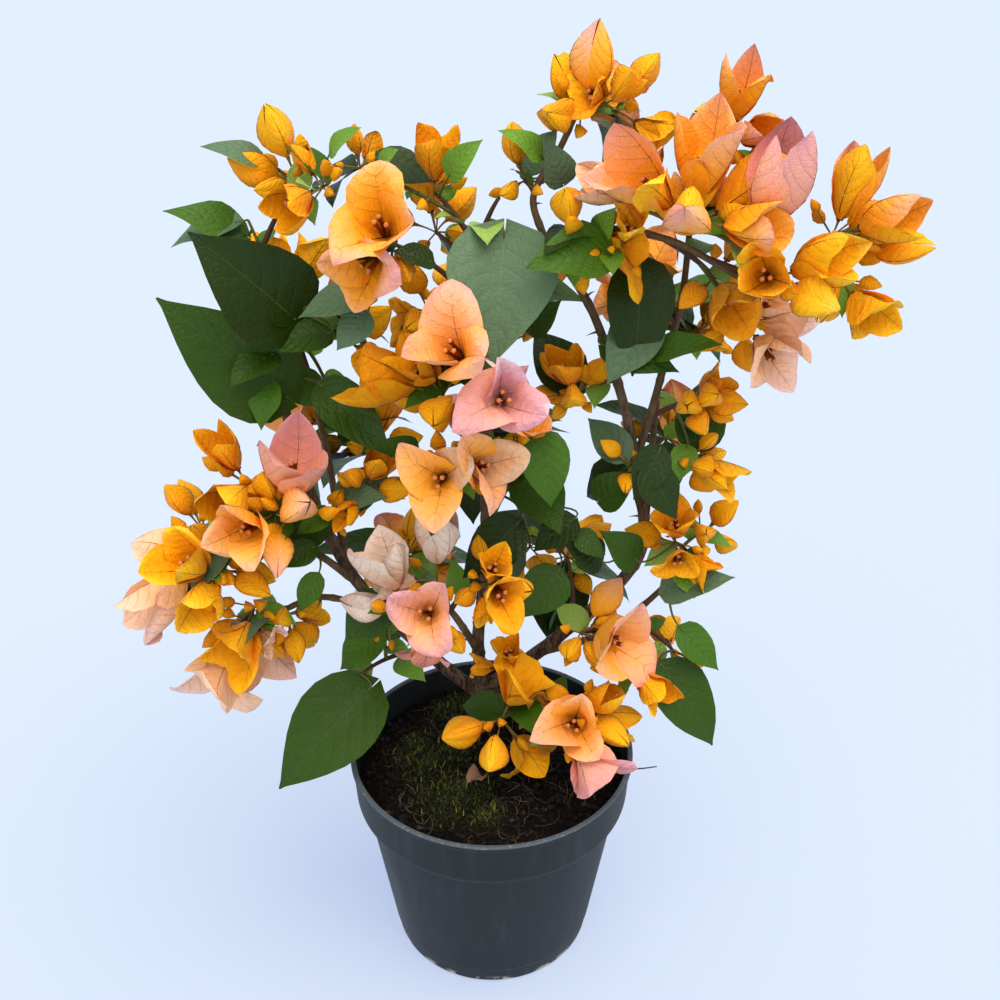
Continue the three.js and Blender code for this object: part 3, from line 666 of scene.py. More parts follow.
PETAL_CODES = {f"{road}_{n}": code for road, stops in ROADS.items() for n, code in enumerate(road_codes(stops))}
PETAL_NAMES = tuple(PETAL_CODES)
LEAF_CODES = {
    # Painted shade: the darkest green, for leaves that lie in shade.
    "leaf_shade": "223504",
    "leaf_dark": "2E4A06",
    # Painted sky reflection: a grey blue-green, for leaves that face up.
    "leaf_painted_reflection": "587250",
    "leaf_mid": "3F6410",
    "leaf_fresh": "68932C",
    "leaf_young": "94B352",
}
LEAF_NAMES = tuple(LEAF_CODES)


class Hue(Enum):
    """The colour of a spray's bracts: for each kind of bract, a colour road and where its base and tip lie on it."""

    AMBER = (("gold", 1, 4), ("gold", 2, 5), ("gold", 3, 5), ("sun", 1, 4))
    GOLD = (("gold", 3, 6), ("gold", 5, 8), ("gold", 4, 7), ("sun", 4, 6))
    YELLOW = (("gold", 5, 9), ("gold", 6, 9), ("gold", 4, 8))
    ORANGE = (("sun", 3, 6), ("gold", 5, 7), ("sun", 2, 6), ("gold", 4, 6))
    APRICOT = (("sun", 4, 13), ("gold", 6, 8), ("sun", 4, 10), ("sun", 6, 15))
    PEACH = (("sun", 6, 13), ("sun", 8, 14), ("sun", 5, 12))
    TAN = (("sun", 8, 13), ("ash", 0, 2), ("sun", 6, 12))
    SALMON = (("sun", 10, 17), ("sun", 12, 16), ("sun", 9, 16))
    PINK = (("sun", 14, 18), ("sun", 16, 20), ("sun", 13, 17))
    DUSTY = (("sun", 13, 17), ("sun", 14, 18), ("sun", 11, 16))
    SUNSET = (("sun", 4, 12), ("sun", 5, 14), ("sun", 7, 16))
    CREAM = (("ash", 3, 6), ("ash", 5, 8), ("ash", 2, 5))
    BLUSH = (("blush", 1, 6), ("blush", 3, 8), ("blush", 2, 5))
    YOUNG = (("gold", 2, 5), ("gold", 3, 6), ("sun", 3, 5), ("gold", 4, 7))


# ---------------------------------------------------------------- the plan of the plant


@dataclass(frozen=True)
class Limb:
    """One tapering limb.

    Attributes:
        name: The CAD node.
        parent: The limb it grows from, or an empty word for the trunk.
        at: Where on the parent, as a share of its length.
        route: Points that it passes, in millimetres, after its start on the parent's axis.
        base: Its radius at the start, in millimetres.
        tip: Its radius at the end, in millimetres.
    """

    name: str
    parent: str
    at: float
    route: tuple[tuple[float, float, float], ...]
    base: float
    tip: float


@dataclass(frozen=True)
class Spray:
    """One spray of a mass.

    Attributes:
        centre: The middle of the space that it fills, in millimetres.
        facing: Which way it looks.
        blooms: Open heads.
        lanterns: Heads that are still closed.
        leaves: Leaves at its heart.
        size: Its size against a usual spray.
        hue: The colour of its bracts.
        open: How far its blooms have opened, 0 closed to 1 flat.
    """

    centre: tuple[float, float, float]
    facing: tuple[float, float, float]
    blooms: int
    lanterns: int
    leaves: int
    size: float
    hue: Hue = Hue.GOLD
    open: float = 0.8


@dataclass(frozen=True)
class Mass:
    """One mass of foliage: its CAD node, the limb and place that its stem grows from, and its sprays."""

    name: str
    limb: str
    at: float
    sprays: tuple[Spray, ...]


@dataclass(frozen=True)
class Accent:
    """A large or telling leaf with its own place.

    Attributes:
        root: Where its blade meets the stalk, in millimetres.
        tip: Where its blade ends, in millimetres.
        ratio: Half its width over its length.
        face: Which way its upper side looks.
        tone: Its finish.
    """

    root: tuple[float, float, float]
    tip: tuple[float, float, float]
    ratio: float
    face: tuple[float, float, float]
    tone: str


TRUNK_FLARE = 3.2
TRUNK_FLARE_POWER = 7
LIMBS = (
    Limb("trunk", "", 0, ((-4, 32, 119), (-4, 32, 134), (-6, 31, 146), (-6, 30, 160)), 6.4, 5.2),
    Limb("left_stem", "trunk", 0.72, ((-37, 28, 182), (-83, 20, 251), (-109, 22, 347), (-113, 25, 438)), 4.2, 1.9),
    Limb("centre_stem", "trunk", 0.97, ((-8, 24, 196), (1, 16, 295), (-5, 16, 383), (-6, 20, 440)), 3.9, 1.8),
    Limb("right_stem", "trunk", 0.84, ((41, 36, 190), (86, 34, 250), (80, 28, 310)), 4.3, 3.0),
    Limb("right_upper_stem", "right_stem", 0.97, ((72, 24, 345), (51, 20, 404), (24, 15, 446)), 2.9, 1.8),
    Limb("right_high_bough", "right_upper_stem", 0.05, ((90, 26, 365), (97, 24, 407), (98, 20, 450)), 2.3, 1.5),
    Limb("right_arch_bough", "right_upper_stem", 0.85, ((53, 10, 447), (85, 0, 446), (135, -5, 424), (165, -2, 430)), 1.9, 1.4),
    Limb("top_bough", "right_upper_stem", 0.97, ((21, 15, 462), (33, 15, 485), (41, 15, 503)), 1.8, 1.4),
    Limb("left_low_bough", "left_stem", 0.36, ((-105, 5, 273), (-133, -4, 281)), 2.4, 1.4),
    Limb("left_hanging_bough", "left_stem", 0.28, ((-98, 6, 238), (-126, 0, 228)), 2.2, 1.4),
    Limb("front_bough", "centre_stem", 0.1, ((-24, 4, 232), (-42, -12, 262)), 2.4, 1.4),
    Limb("right_low_bough", "right_stem", 0.21, ((66, 30, 196), (96, 25, 228), (112, 20, 258)), 2.4, 1.4),
    Limb("back_left_bough", "left_stem", 0.4, ((-92, 48, 300), (-102, 68, 345)), 2.4, 1.5),
    Limb("back_centre_bough", "centre_stem", 0.3, ((-4, 46, 285), (-2, 68, 345)), 2.4, 1.5),
    Limb("back_right_bough", "right_stem", 0.74, ((92, 56, 312), (96, 72, 350)), 2.4, 1.5),
)
MASSES = (
    Mass("left_crown_tip", "left_stem", 0.99, (
        Spray((-104, 20, 482), (-1, -1, 1.6), 0, 2, 0, 1.05, Hue.ORANGE),
        Spray((-88, -6, 466), (-0.6, -1.3, -0.1), 1, 0, 0, 0.95, Hue.ORANGE, 0.45),
    )),
    Mass("left_crown_fresh", "centre_stem", 0.98, (
        Spray((-26, 20, 474), (0.1, -1, 1.3), 1, 0, 2, 0.8, Hue.ORANGE, 0.4),
        Spray((-65, 30, 484), (-0.2, -0.6, 1.6), 0, 1, 3, 0.62, Hue.AMBER),
    )),
    Mass("left_crown_bloom", "centre_stem", 0.88, (
        Spray((-50, -12, 456), (-0.15, -1.3, 0.9), 2, 0, 0, 1.15, Hue.SUNSET, 0.86),
    )),
    Mass("left_high_leaves", "left_stem", 0.8, (
        Spray((-124, 2, 424), (-1, -0.3, 0.6), 0, 0, 0, 1.1),
        Spray((-142, 10, 380), (-1, -0.2, 0.9), 0, 0, 0, 1.15),
        Spray((-142, 30, 452), (-1, -0.2, 0.3), 0, 0, 1, 0.75),
    )),
    Mass("left_inner_leaves", "left_stem", 0.72, (
        Spray((-76, 34, 402), (0.7, -0.8, 0.3), 0, 0, 1, 0.8),
        Spray((-78, 36, 338), (0.6, -0.9, -0.3), 0, 0, 2, 0.75),
    )),
    Mass("centre_left_gold", "centre_stem", 0.74, (
        Spray((-40, 14, 408), (-0.6, -1, 0.6), 0, 2, 1, 0.9, Hue.AMBER),
        Spray((-38, -18, 370), (-0.9, -1.2, 0.3), 2, 1, 1, 1.1, Hue.AMBER, 0.6),
    )),
    Mass("centre_leaf", "centre_stem", 0.99, (
        Spray((8, 10, 428), (0.1, -0.2, -1), 0, 0, 0, 1.15),
    )),
    Mass("centre_bloom", "centre_stem", 0.82, (
        Spray((-16, -38, 404), (-0.5, -1.2, 0.9), 1, 0, 0, 1.05, Hue.PEACH, 0.88),
        Spray((6, -46, 384), (0.3, -1.5, 1.0), 1, 0, 0, 0.86, Hue.PINK, 0.88),
    )),
    Mass("centre_low_bloom", "centre_stem", 0.6, (
        Spray((-25, -42, 339), (-0.2, -1.3, 0.5), 2, 0, 0, 1.15, Hue.TAN, 0.88),
        Spray((18, -28, 344), (0.5, -1.6, 0.2), 1, 0, 0, 0.9, Hue.PEACH, 0.7),
    )),
    Mass("pale_bloom", "front_bough", 0.99, (
        Spray((-58, -44, 284), (-0.5, -0.2, 0.9), 1, 0, 0, 1.3, Hue.CREAM, 0.5),
        Spray((-26, -34, 298), (0.1, -0.2, 1.2), 1, 0, 0, 1.15, Hue.CREAM, 0.45),
        Spray((-32, -50, 266), (-0.1, -1.3, 0.9), 1, 1, 0, 0.95, Hue.SALMON, 0.86),
    )),
    Mass("low_gold", "front_bough", 0.55, (
        Spray((2, -42, 270), (0.4, -2, 0.2), 2, 1, 0, 0.85, Hue.GOLD, 0.7),
    )),
    Mass("centre_leaves", "centre_stem", 0.45, (
        Spray((26, -6, 310), (0.5, -1, -0.3), 0, 0, 1, 0.75),
        Spray((30, 14, 256), (0.6, -1, -0.2), 0, 1, 2, 0.7, Hue.AMBER),
    )),
    Mass("centre_right_gold", "right_upper_stem", 0.4, (
        Spray((40, 6, 360), (-0.4, -1, 0.3), 1, 3, 1, 0.75, Hue.AMBER, 0.5),
    )),
    Mass("top_lantern", "top_bough", 0.35, (
        Spray((10, 12, 478), (-0.6, -1, 0.9), 0, 2, 1, 0.75, Hue.GOLD),
    )),
    Mass("top_bloom", "right_arch_bough", 0.16, (
        Spray((36, -20, 446), (-0.2, -1.6, 0.2), 0, 1, 0, 1.3, Hue.ORANGE),
        Spray((66, -22, 446), (0.4, -1.6, 0.3), 1, 0, 1, 0.8, Hue.YELLOW, 0.7),
    )),
    Mass("crown_tip", "top_bough", 0.99, (
        Spray((50, 14, 526), (0.2, -0.4, 1.6), 0, 1, 0, 1.2, Hue.APRICOT),
        Spray((30, 18, 510), (-0.8, -0.6, 0.8), 0, 3, 0, 0.95, Hue.ORANGE),
        Spray((76, 22, 508), (1, -0.4, 0.5), 0, 2, 1, 0.9, Hue.GOLD),
    )),
    Mass("right_crown_bloom", "right_high_bough", 0.97, (
        Spray((97, -20, 480), (0.1, -0.7, 1.4), 4, 1, 0, 1.25, Hue.APRICOT, 0.5),
        Spray((66, -4, 482), (-0.3, -0.6, 1.4), 3, 0, 0, 1.2, Hue.BLUSH, 0.5),
        Spray((119, 18, 505), (0.3, -0.6, 1.3), 1, 1, 0, 0.95, Hue.APRICOT, 0.42),
        Spray((130, -26, 466), (0.3, -0.7, 1.5), 1, 0, 0, 1.2, Hue.DUSTY, 0.34),
    )),
    Mass("right_crown_gold", "right_arch_bough", 0.56, (
        Spray((138, -30, 442), (0.2, -1.2, 0.7), 3, 1, 0, 1.15, Hue.YELLOW, 0.5),
    )),
    Mass("right_tip", "right_arch_bough", 0.99, (
        Spray((172, -2, 464), (0.5, -0.6, 1.2), 2, 1, 0, 1.0, Hue.APRICOT, 0.4),
        Spray((196, 0, 441), (1.4, -0.5, 0.3), 0, 1, 0, 1.2, Hue.GOLD, 0.9),
        Spray((176, -14, 420), (0.6, -1.2, -0.5), 1, 0, 0, 0.9, Hue.YELLOW, 0.6),
    )),
    Mass("right_under", "right_arch_bough", 0.4, (
        Spray((116, 4, 416), (0.3, -1.3, -0.3), 1, 1, 0, 0.85, Hue.AMBER, 0.6),
        Spray((138, 10, 388), (0.7, -1.2, -0.6), 2, 1, 0, 0.9, Hue.BLUSH, 0.7),
    )),
    Mass("right_mid", "right_high_bough", 0.2, (
        Spray((120, 12, 352), (0.9, -1, 0.1), 1, 3, 0, 0.85, Hue.AMBER, 0.6),
        Spray((120, 8, 316), (1, -1, -0.3), 1, 2, 1, 0.8, Hue.YELLOW, 0.5),
    )),
    Mass("right_leaf", "right_high_bough", 0.6, (
        Spray((70, 2, 392), (-0.7, -0.8, -0.6), 0, 0, 1, 0.8),
    )),
    Mass("right_knot", "right_stem", 0.86, (
        Spray((72, -2, 316), (-0.3, -1.2, -0.3), 0, 1, 2, 0.65, Hue.AMBER),
    )),
    Mass("right_low", "right_low_bough", 0.99, (
        Spray((100, -2, 276), (-0.2, -1.2, 0.5), 1, 1, 0, 0.85, Hue.ORANGE, 0.7),
        Spray((133, 18, 272), (1, -0.8, 0.4), 0, 2, 0, 0.85, Hue.GOLD),
        Spray((124, 2, 236), (1, -0.3, -0.1), 0, 0, 0, 0.8),
    )),
    Mass("right_base_bloom", "right_low_bough", 0.35, (
        Spray((62, -12, 224), (0.7, -1.2, 0.7), 2, 1, 0, 1.1, Hue.PEACH, 0.84),
        Spray((88, -12, 194), (0.7, -1.4, -0.2), 1, 0, 0, 0.9, Hue.ORANGE, 0.6),
    )),
    Mass("right_base_leaf", "right_low_bough", 0.5, (
        Spray((118, 8, 178), (0.7, -0.5, -1), 0, 1, 0, 0.95, Hue.GOLD),
    )),
    Mass("base_front", "trunk", 0.82, (
        Spray((46, -34, 181), (-0.2, -1.3, 0.8), 1, 0, 0, 0.9, Hue.PEACH, 0.88),
        Spray((2, -40, 168), (-0.3, -1.8, -0.1), 0, 2, 0, 1.1, Hue.GOLD, 0.9),
        Spray((66, -34, 178), (1.0, -1.0, 0.1), 1, 1, 0, 1.0, Hue.GOLD, 0.4),
        Spray((54, -46, 164), (0.5, -0.9, -0.4), 1, 0, 0, 0.95, Hue.DUSTY, 0.9),
        Spray((10, -8, 196), (0.1, -1.5, 0.8), 1, 0, 1, 0.7, Hue.GOLD, 0.5),
    )),
    Mass("left_gold", "left_low_bough", 0.7, (
        Spray((-144, 0, 318), (-0.7, -1, 0.8), 2, 0, 0, 1.15, Hue.GOLD, 0.45),
        Spray((-100, -20, 316), (0.3, -0.9, 1.2), 1, 0, 0, 1.15, Hue.DUSTY, 0.55),
        Spray((-122, -26, 304), (-0.4, -1.2, 0.3), 1, 2, 0, 1.1, Hue.PEACH, 0.88),
    )),
    Mass("left_tip", "left_low_bough", 0.99, (
        Spray((-174, -12, 254), (-0.8, -0.5, -0.5), 2, 0, 0, 1.25, Hue.BLUSH, 0.5),
        Spray((-150, -30, 264), (-0.1, -1.8, -0.2), 2, 1, 0, 1.05, Hue.YELLOW, 0.5),
        Spray((-172, 6, 290), (-1, -0.4, 0.8), 0, 2, 1, 0.85, Hue.GOLD),
    )),
    Mass("left_hanging", "left_hanging_bough", 0.99, (
        Spray((-148, -18, 212), (-0.5, -0.8, -1), 2, 0, 0, 1.15, Hue.BLUSH, 0.86),
        Spray((-136, -24, 232), (-0.2, -1, -0.3), 1, 1, 0, 1.0, Hue.ORANGE, 0.6),
        Spray((-112, -2, 210), (0.3, -0.6, -1), 0, 2, 0, 0.85, Hue.GOLD),
    )),
    Mass("left_inner", "left_stem", 0.46, (
        Spray((-82, 0, 292), (0.3, -1, 0.2), 0, 1, 2, 0.6, Hue.AMBER),
        Spray((-60, -4, 310), (0.6, -1.2, 0.4), 1, 2, 0, 0.75, Hue.AMBER, 0.4),
    )),
    Mass("left_base_leaf", "left_stem", 0.16, (
        Spray((-98, -22, 166), (-0.8, -0.6, -0.9), 0, 0, 0, 1.3),
        Spray((-62, -6, 222), (-0.2, -1, 0.3), 0, 1, 1, 0.65, Hue.GOLD),
    )),
    Mass("back_left_high", "back_left_bough", 0.99, (
        Spray((-122, 92, 398), (-0.6, 1.2, 0.8), 2, 1, 2, 1.0, Hue.ORANGE, 0.8),
        Spray((-80, 96, 372), (0.3, 1.4, 0.4), 1, 1, 2, 0.95, Hue.APRICOT, 0.7),
    )),
    Mass("back_left_mid", "back_left_bough", 0.5, (
        Spray((-112, 88, 312), (-0.9, 1.1, -0.1), 2, 1, 3, 1.0, Hue.PEACH, 0.9),
        Spray((-66, 92, 296), (0.3, 1.4, 0), 1, 1, 2, 0.9, Hue.GOLD, 0.6),
    )),
    Mass("back_centre_high", "back_centre_bough", 0.99, (
        Spray((-16, 98, 398), (-0.3, 1.3, 0.7), 2, 2, 2, 1.0, Hue.YELLOW, 0.7),
        Spray((26, 96, 374), (0.5, 1.3, 0.2), 1, 1, 3, 0.95, Hue.ORANGE, 0.8),
    )),
    Mass("back_centre_mid", "back_centre_bough", 0.5, (
        Spray((-10, 92, 306), (-0.1, 1.4, -0.1), 1, 1, 4, 0.95, Hue.SALMON, 0.9),
    )),
    Mass("back_right_high", "back_right_bough", 0.99, (
        Spray((84, 98, 398), (-0.1, 1.3, 0.8), 2, 1, 2, 1.0, Hue.SUNSET, 0.9),
        Spray((128, 82, 376), (1, 0.9, 0.4), 1, 2, 2, 0.95, Hue.GOLD, 0.6),
    )),
    Mass("back_right_mid", "back_right_bough", 0.5, (
        Spray((112, 92, 304), (0.6, 1.2, -0.1), 2, 1, 3, 0.95, Hue.PEACH, 0.8),
    )),
    Mass("back_low_left", "left_stem", 0.2, (
        Spray((-58, 84, 226), (-0.4, 1.3, -0.2), 1, 2, 4, 0.95, Hue.APRICOT, 0.8),
    )),
    Mass("back_low_right", "right_stem", 0.35, (
        Spray((52, 90, 222), (0.4, 1.3, -0.2), 1, 2, 4, 0.95, Hue.ORANGE, 0.8),
    )),
    Mass("back_top", "centre_stem", 0.92, (
        Spray((-34, 66, 446), (-0.4, 1, 0.8), 1, 1, 3, 0.9, Hue.ORANGE, 0.7),
    )),
)
# The telling leaves' tones include the painted-shade green and the painted sky-reflection green.
ACCENTS = (
    Accent((-97, 8, 403), (-139, -14, 454), 0.34, (-0.1, -0.75, 0.6), "leaf_shade"),
    Accent((-106, 16, 357), (-164, 6, 415), 0.3, (-0.2, -0.75, 0.55), "leaf_dark"),
    Accent((-123, 34, 438), (-160, 24, 453), 0.28, (0, -0.55, 0.8), "leaf_mid"),
    Accent((-57, 2, 420), (-93, -6, 409), 0.3, (0, -0.5, 0.85), "leaf_painted_reflection"),
    Accent((-61, 0, 408), (-75, -8, 393), 0.4, (0, -0.8, 0.6), "leaf_painted_reflection"),
    Accent((-81, 10, 395), (-114, 2, 389), 0.3, (0, -0.6, 0.8), "leaf_dark"),
    Accent((-110, 30, 476), (-138, 24, 484), 0.24, (0, -0.5, 0.8), "leaf_painted_reflection"),
    Accent((-77, 24, 470), (-96, 16, 486), 0.3, (0.2, -0.5, 0.8), "leaf_mid"),
    Accent((7, 6, 446), (2, -26, 393), 0.43, (0.05, -0.9, 0.4), "leaf_painted_reflection"),
    Accent((26, -16, 350), (31, -26, 315), 0.34, (0, -0.9, 0.4), "leaf_mid"),
    Accent((14, -6, 293), (-15, -14, 264), 0.33, (0, -0.8, 0.5), "leaf_shade"),
    Accent((44, 0, 292), (23, -8, 277), 0.36, (0, -0.6, 0.8), "leaf_shade"),
    Accent((47, -4, 286), (61, -10, 274), 0.34, (0, -0.7, 0.6), "leaf_dark"),
    Accent((36, -6, 262), (17, -14, 238), 0.42, (0, -0.8, 0.5), "leaf_dark"),
    Accent((-58, -18, 253), (-79, -26, 232), 0.42, (0, -0.8, 0.5), "leaf_dark"),
    Accent((-87, 14, 364), (-51, -2, 331), 0.26, (0.1, -0.7, 0.6), "leaf_dark"),
    Accent((-81, 6, 301), (-54, -4, 308), 0.3, (0, -0.6, 0.8), "leaf_painted_reflection"),
    Accent((-86, -4, 299), (-103, -10, 289), 0.34, (0, -0.7, 0.7), "leaf_mid"),
    Accent((-96, -2, 276), (-116, -8, 267), 0.34, (0, -0.7, 0.7), "leaf_dark"),
    Accent((-95, -4, 259), (-106, -10, 239), 0.3, (0, -0.8, 0.5), "leaf_mid"),
    Accent((-70, -8, 184), (-122, -36, 134), 0.31, (-0.1, -0.75, 0.6), "leaf_dark"),
    Accent((74, 14, 429), (72, 4, 374), 0.3, (0.1, -0.85, 0.4), "leaf_shade"),
    Accent((83, 4, 387), (114, -8, 396), 0.26, (0, -0.5, 0.85), "leaf_mid"),
    Accent((88, 0, 334), (75, -8, 309), 0.34, (0, -0.8, 0.5), "leaf_shade"),
    Accent((97, 4, 243), (134, -4, 258), 0.27, (0, -0.5, 0.85), "leaf_painted_reflection"),
    Accent((99, -4, 196), (129, -16, 149), 0.3, (0.3, -0.8, 0.5), "leaf_dark"),
    Accent((108, 0, 220), (130, -6, 196), 0.32, (0.2, -0.7, 0.6), "leaf_mid"),
    Accent((24, 14, 482), (4, 8, 495), 0.3, (0, -0.6, 0.8), "leaf_fresh"),
    Accent((35, 16, 469), (26, 10, 491), 0.34, (0, -0.85, 0.5), "leaf_painted_reflection"),
    Accent((-19, 18, 472), (-3, 12, 490), 0.3, (0, -0.7, 0.6), "leaf_fresh"),
    Accent((59, 10, 299), (78, 0, 322), 0.34, (0, -0.7, 0.6), "leaf_dark"),
    Accent((-46, 0, 446), (-66, -6, 437), 0.34, (0, -0.6, 0.8), "leaf_shade"),
    Accent((-28, -2, 436), (-46, -8, 443), 0.36, (0, -0.6, 0.8), "leaf_shade"),
    Accent((20, 6, 398), (35, 0, 416), 0.34, (0, -0.7, 0.6), "leaf_dark"),
    Accent((60, 2, 265), (38, -6, 283), 0.34, (0, -0.7, 0.6), "leaf_shade"),
    Accent((58, 8, 389), (95, 0, 378), 0.28, (0, -0.7, 0.6), "leaf_dark"),
    Accent((-39, -6, 334), (-56, -12, 346), 0.36, (0, -0.7, 0.6), "leaf_dark"),
    Accent((82, -4, 325), (98, -10, 298), 0.34, (0.1, -0.8, 0.5), "leaf_shade"),
    Accent((79, 0, 267), (58, -6, 289), 0.34, (0, -0.7, 0.6), "leaf_dark"),
    Accent((-75, 18, 483), (-59, 10, 496), 0.3, (0, -0.6, 0.8), "leaf_fresh"),
    Accent((-52, 16, 477), (-42, 10, 486), 0.4, (0, -0.6, 0.8), "leaf_fresh"),
)
MASS_NAMES = [mass.name for mass in MASSES]


# ---------------------------------------------------------------- framework


@dataclass
class LimbCurve:
    """A limb's centre line, measured along its length.

    Attributes:
        limb: The limb's plan.
        line: Close points of the line, in metres.
        share: Each point's share of the length.
    """

    limb: Limb
    line: np.ndarray
    share: np.ndarray

    @property
    def length(self) -> float:
        """Return the length in metres."""
        return float(np.linalg.norm(np.diff(self.line, axis=0), axis=1).sum())

    def points(self, share: np.ndarray | float) -> np.ndarray:
        """Return the points at the given shares of the length."""
        return np.stack([np.interp(share, self.share, self.line[:, axis]) for axis in range(3)], axis=-1)

    def along(self, share: float) -> np.ndarray:
        """Return the direction at a share of the length."""
        return unit(self.points(min(share + 0.01, 1.0)) - self.points(max(share - 0.01, 0.0)))

    def radius(self, share: np.ndarray | float) -> np.ndarray:
        """Return the radius in metres, base to tip, with the trunk's flare (1 - share)^7 added at its foot."""
        even = self.limb.base + (self.limb.tip - self.limb.base) * np.asarray(share, float)
        flare = 0.0 if self.limb.parent else TRUNK_FLARE * (1 - np.asarray(share, float)) ** TRUNK_FLARE_POWER
        return (even + flare) * MM


def smooth_line(stops: np.ndarray, steps: int = 60) -> np.ndarray:
    """Pass a centripetal Catmull-Rom curve through the stops.

    Each stretch is the cubic x1 + t1 s + (3(x2-x1) - 2t1 - t2) s^2 + (2(x1-x2) + t1 + t2) s^3, with end slopes t1, t2
    from the neighbours and knots a square root of the distance apart. The ends borrow a mirrored neighbour.

    Args:
        stops: Points that it passes, n by 3.
        steps: Points a stretch.

    Returns:
        Close points of the curve.
    """
    whole = np.concatenate(([2 * stops[0] - stops[1]], stops, [2 * stops[-1] - stops[-2]]))
    gap = np.sqrt(np.linalg.norm(np.diff(whole, axis=0), axis=1))[:, None]
    p0, p1, p2, p3 = whole[:-3], whole[1:-2], whole[2:-1], whole[3:]
    d0, d1, d2 = gap[:-2], gap[1:-1], gap[2:]
    t1 = ((p1 - p0) / d0 - (p2 - p0) / (d0 + d1) + (p2 - p1) / d1) * d1
    t2 = ((p2 - p1) / d1 - (p3 - p1) / (d1 + d2) + (p3 - p2) / d2) * d1
    s = np.linspace(0, 1, steps, endpoint=False)[None, :, None]
    p1, p2, t1, t2 = p1[:, None], p2[:, None], t1[:, None], t2[:, None]
    line = p1 + t1 * s + (3 * (p2 - p1) - 2 * t1 - t2) * s**2 + (2 * (p1 - p2) + t1 + t2) * s**3
    return np.concatenate((line.reshape(-1, 3), stops[-1:]))


class Framework:
    """Trunk and limbs: their centre lines, and one bark mesh with ridges, knuckles and thorns.

    Attributes:
        curves: Each limb's centre line by name.
    """

    sides = 14
    ring_gap = 0.0024
    knuckle_gap = 0.024
    ridges = ((3, 60.0, 0.030), (5, -90.0, 0.034), (7, 130.0, 0.026), (4, 420.0, 0.018))

    def __init__(self) -> None:
        """Lay out every limb from its parent's axis."""
        self.curves: dict[str, LimbCurve] = {}
        for limb in LIMBS:
            stops = np.array(limb.route, float) * MM
            if limb.parent:
                stops = np.concatenate(([self.curves[limb.parent].points(limb.at)], stops))
            line = smooth_line(stops)
            reach = np.concatenate(([0.0], np.cumsum(np.linalg.norm(np.diff(line, axis=0), axis=1))))
            self.curves[limb.name] = LimbCurve(limb, line, reach / reach[-1])
        shares = np.linspace(0, 1, 90)
        self.cloud = np.concatenate([curve.points(shares) for curve in self.curves.values()])
        self.cloud_radius = np.concatenate([curve.radius(shares) for curve in self.curves.values()])

    def clear_of(self, points: np.ndarray, room: float, home: np.ndarray, home_zone: float) -> bool:
        """Tell whether points keep clear of every limb.

        Args:
            points: Points to test, n by 3.
            room: The least room, in metres.
            home: Where the shape is rooted.
            home_zone: How far from there a touch is allowed.

        Returns:
            True if all of them do.
        """
        far = points[np.linalg.norm(points - home, axis=1) > home_zone]
        if not len(far):
            return True
        gap = np.linalg.norm(far[:, None] - self.cloud[None], axis=2) - self.cloud_radius[None]
        return bool(gap.min() > room)

    def bark(self, number: int, curve: LimbCurve) -> tuple[np.ndarray, list[np.ndarray], np.ndarray]:
        """Sweep one limb with its relief.

        The radius at angle a and length s is r(s) (1 + sum of A sin(n a + m s + phase) + knuckle bumps), and the last
        rings close to a blunt tip.

        Args:
            number: The limb's place in the list, which seeds its relief.
            curve: Its centre line.

        Returns:
            Its points, faces and the age of each point.
        """
        rings = max(8, int(curve.length / self.ring_gap))
        share = np.linspace(0, 1, rings)
        length = share * curve.length
        angle = np.linspace(0, 2 * math.pi, self.sides, endpoint=False)
        relief = np.zeros((rings, self.sides))
        for k, (lobes, pace, depth) in enumerate(self.ridges):
            phase = 2 * math.pi * draw(number, k, 11)
            relief += depth * np.sin(lobes * angle[None, :] + pace * length[:, None] + phase)
        step = (length + 0.009 * draw(number, 1, 12)) % self.knuckle_gap
        relief += 0.16 * np.exp(-(((step - 0.5 * self.knuckle_gap) / 0.0017) ** 2))[:, None]
        close = np.sqrt(np.clip((1.0005 - share) / 0.006, 0.02, 1.0)) if curve.limb.parent else np.ones(rings)
        radius = curve.radius(share)[:, None] * (1 + relief) * close[:, None]
        points, faces = tube(curve.points(share), radius, self.sides)
        age = np.clip(1.25 - curve.radius(share) / 0.0032, 0, 1)
        return points, faces, np.repeat(age, self.sides)

    def thorn(self, root: np.ndarray, out: np.ndarray, bend: np.ndarray, length: float) -> tuple[np.ndarray, list]:
        """Sweep one thorn: a cone that bends towards the tip along a quadratic curve.

        Args:
            root: Where it stands.
            out: Which way it points.
            bend: Which way its tip leans.
            length: Its length.

        Returns:
            Its points and faces.
        """
        share = np.linspace(0, 1, 4)
        path = root + out * length * share[:, None] + bend * length * 0.25 * share[:, None] ** 2
        return tube(path, 0.00075 * (1.04 - share), 5)

    def build(self) -> None:
        """Build the bark mesh, thorns and all."""
        piece = Patchwork("bark", "bark", [BarkFinish().material()])
        for number, curve in enumerate(self.curves.values()):
            points, faces, age = self.bark(number, curve)
            piece.add(points, faces, 0, age=age)
            for k in range(int(curve.length / self.knuckle_gap)):
                share = (k + 0.5 + 0.3 * draw(number, k, 21)) * self.knuckle_gap / curve.length
                if share > 0.97 or draw(number, k, 22) > 0.62:
                    continue
                along = curve.along(share)
                out = tilted(along, 1.15, k * GOLDEN_ANGLE + number)
                root = curve.points(share) + out * float(curve.radius(share)) * 0.7
                points, faces = self.thorn(root, out, -UP, mix(0.004, 0.0075, draw(number, k, 23)))
                piece.add(points, faces, 0, age=np.full(points.size // 3, 0.9))
        piece.finish([limb.name for limb in LIMBS])


# ---------------------------------------------------------------- leaves and bracts


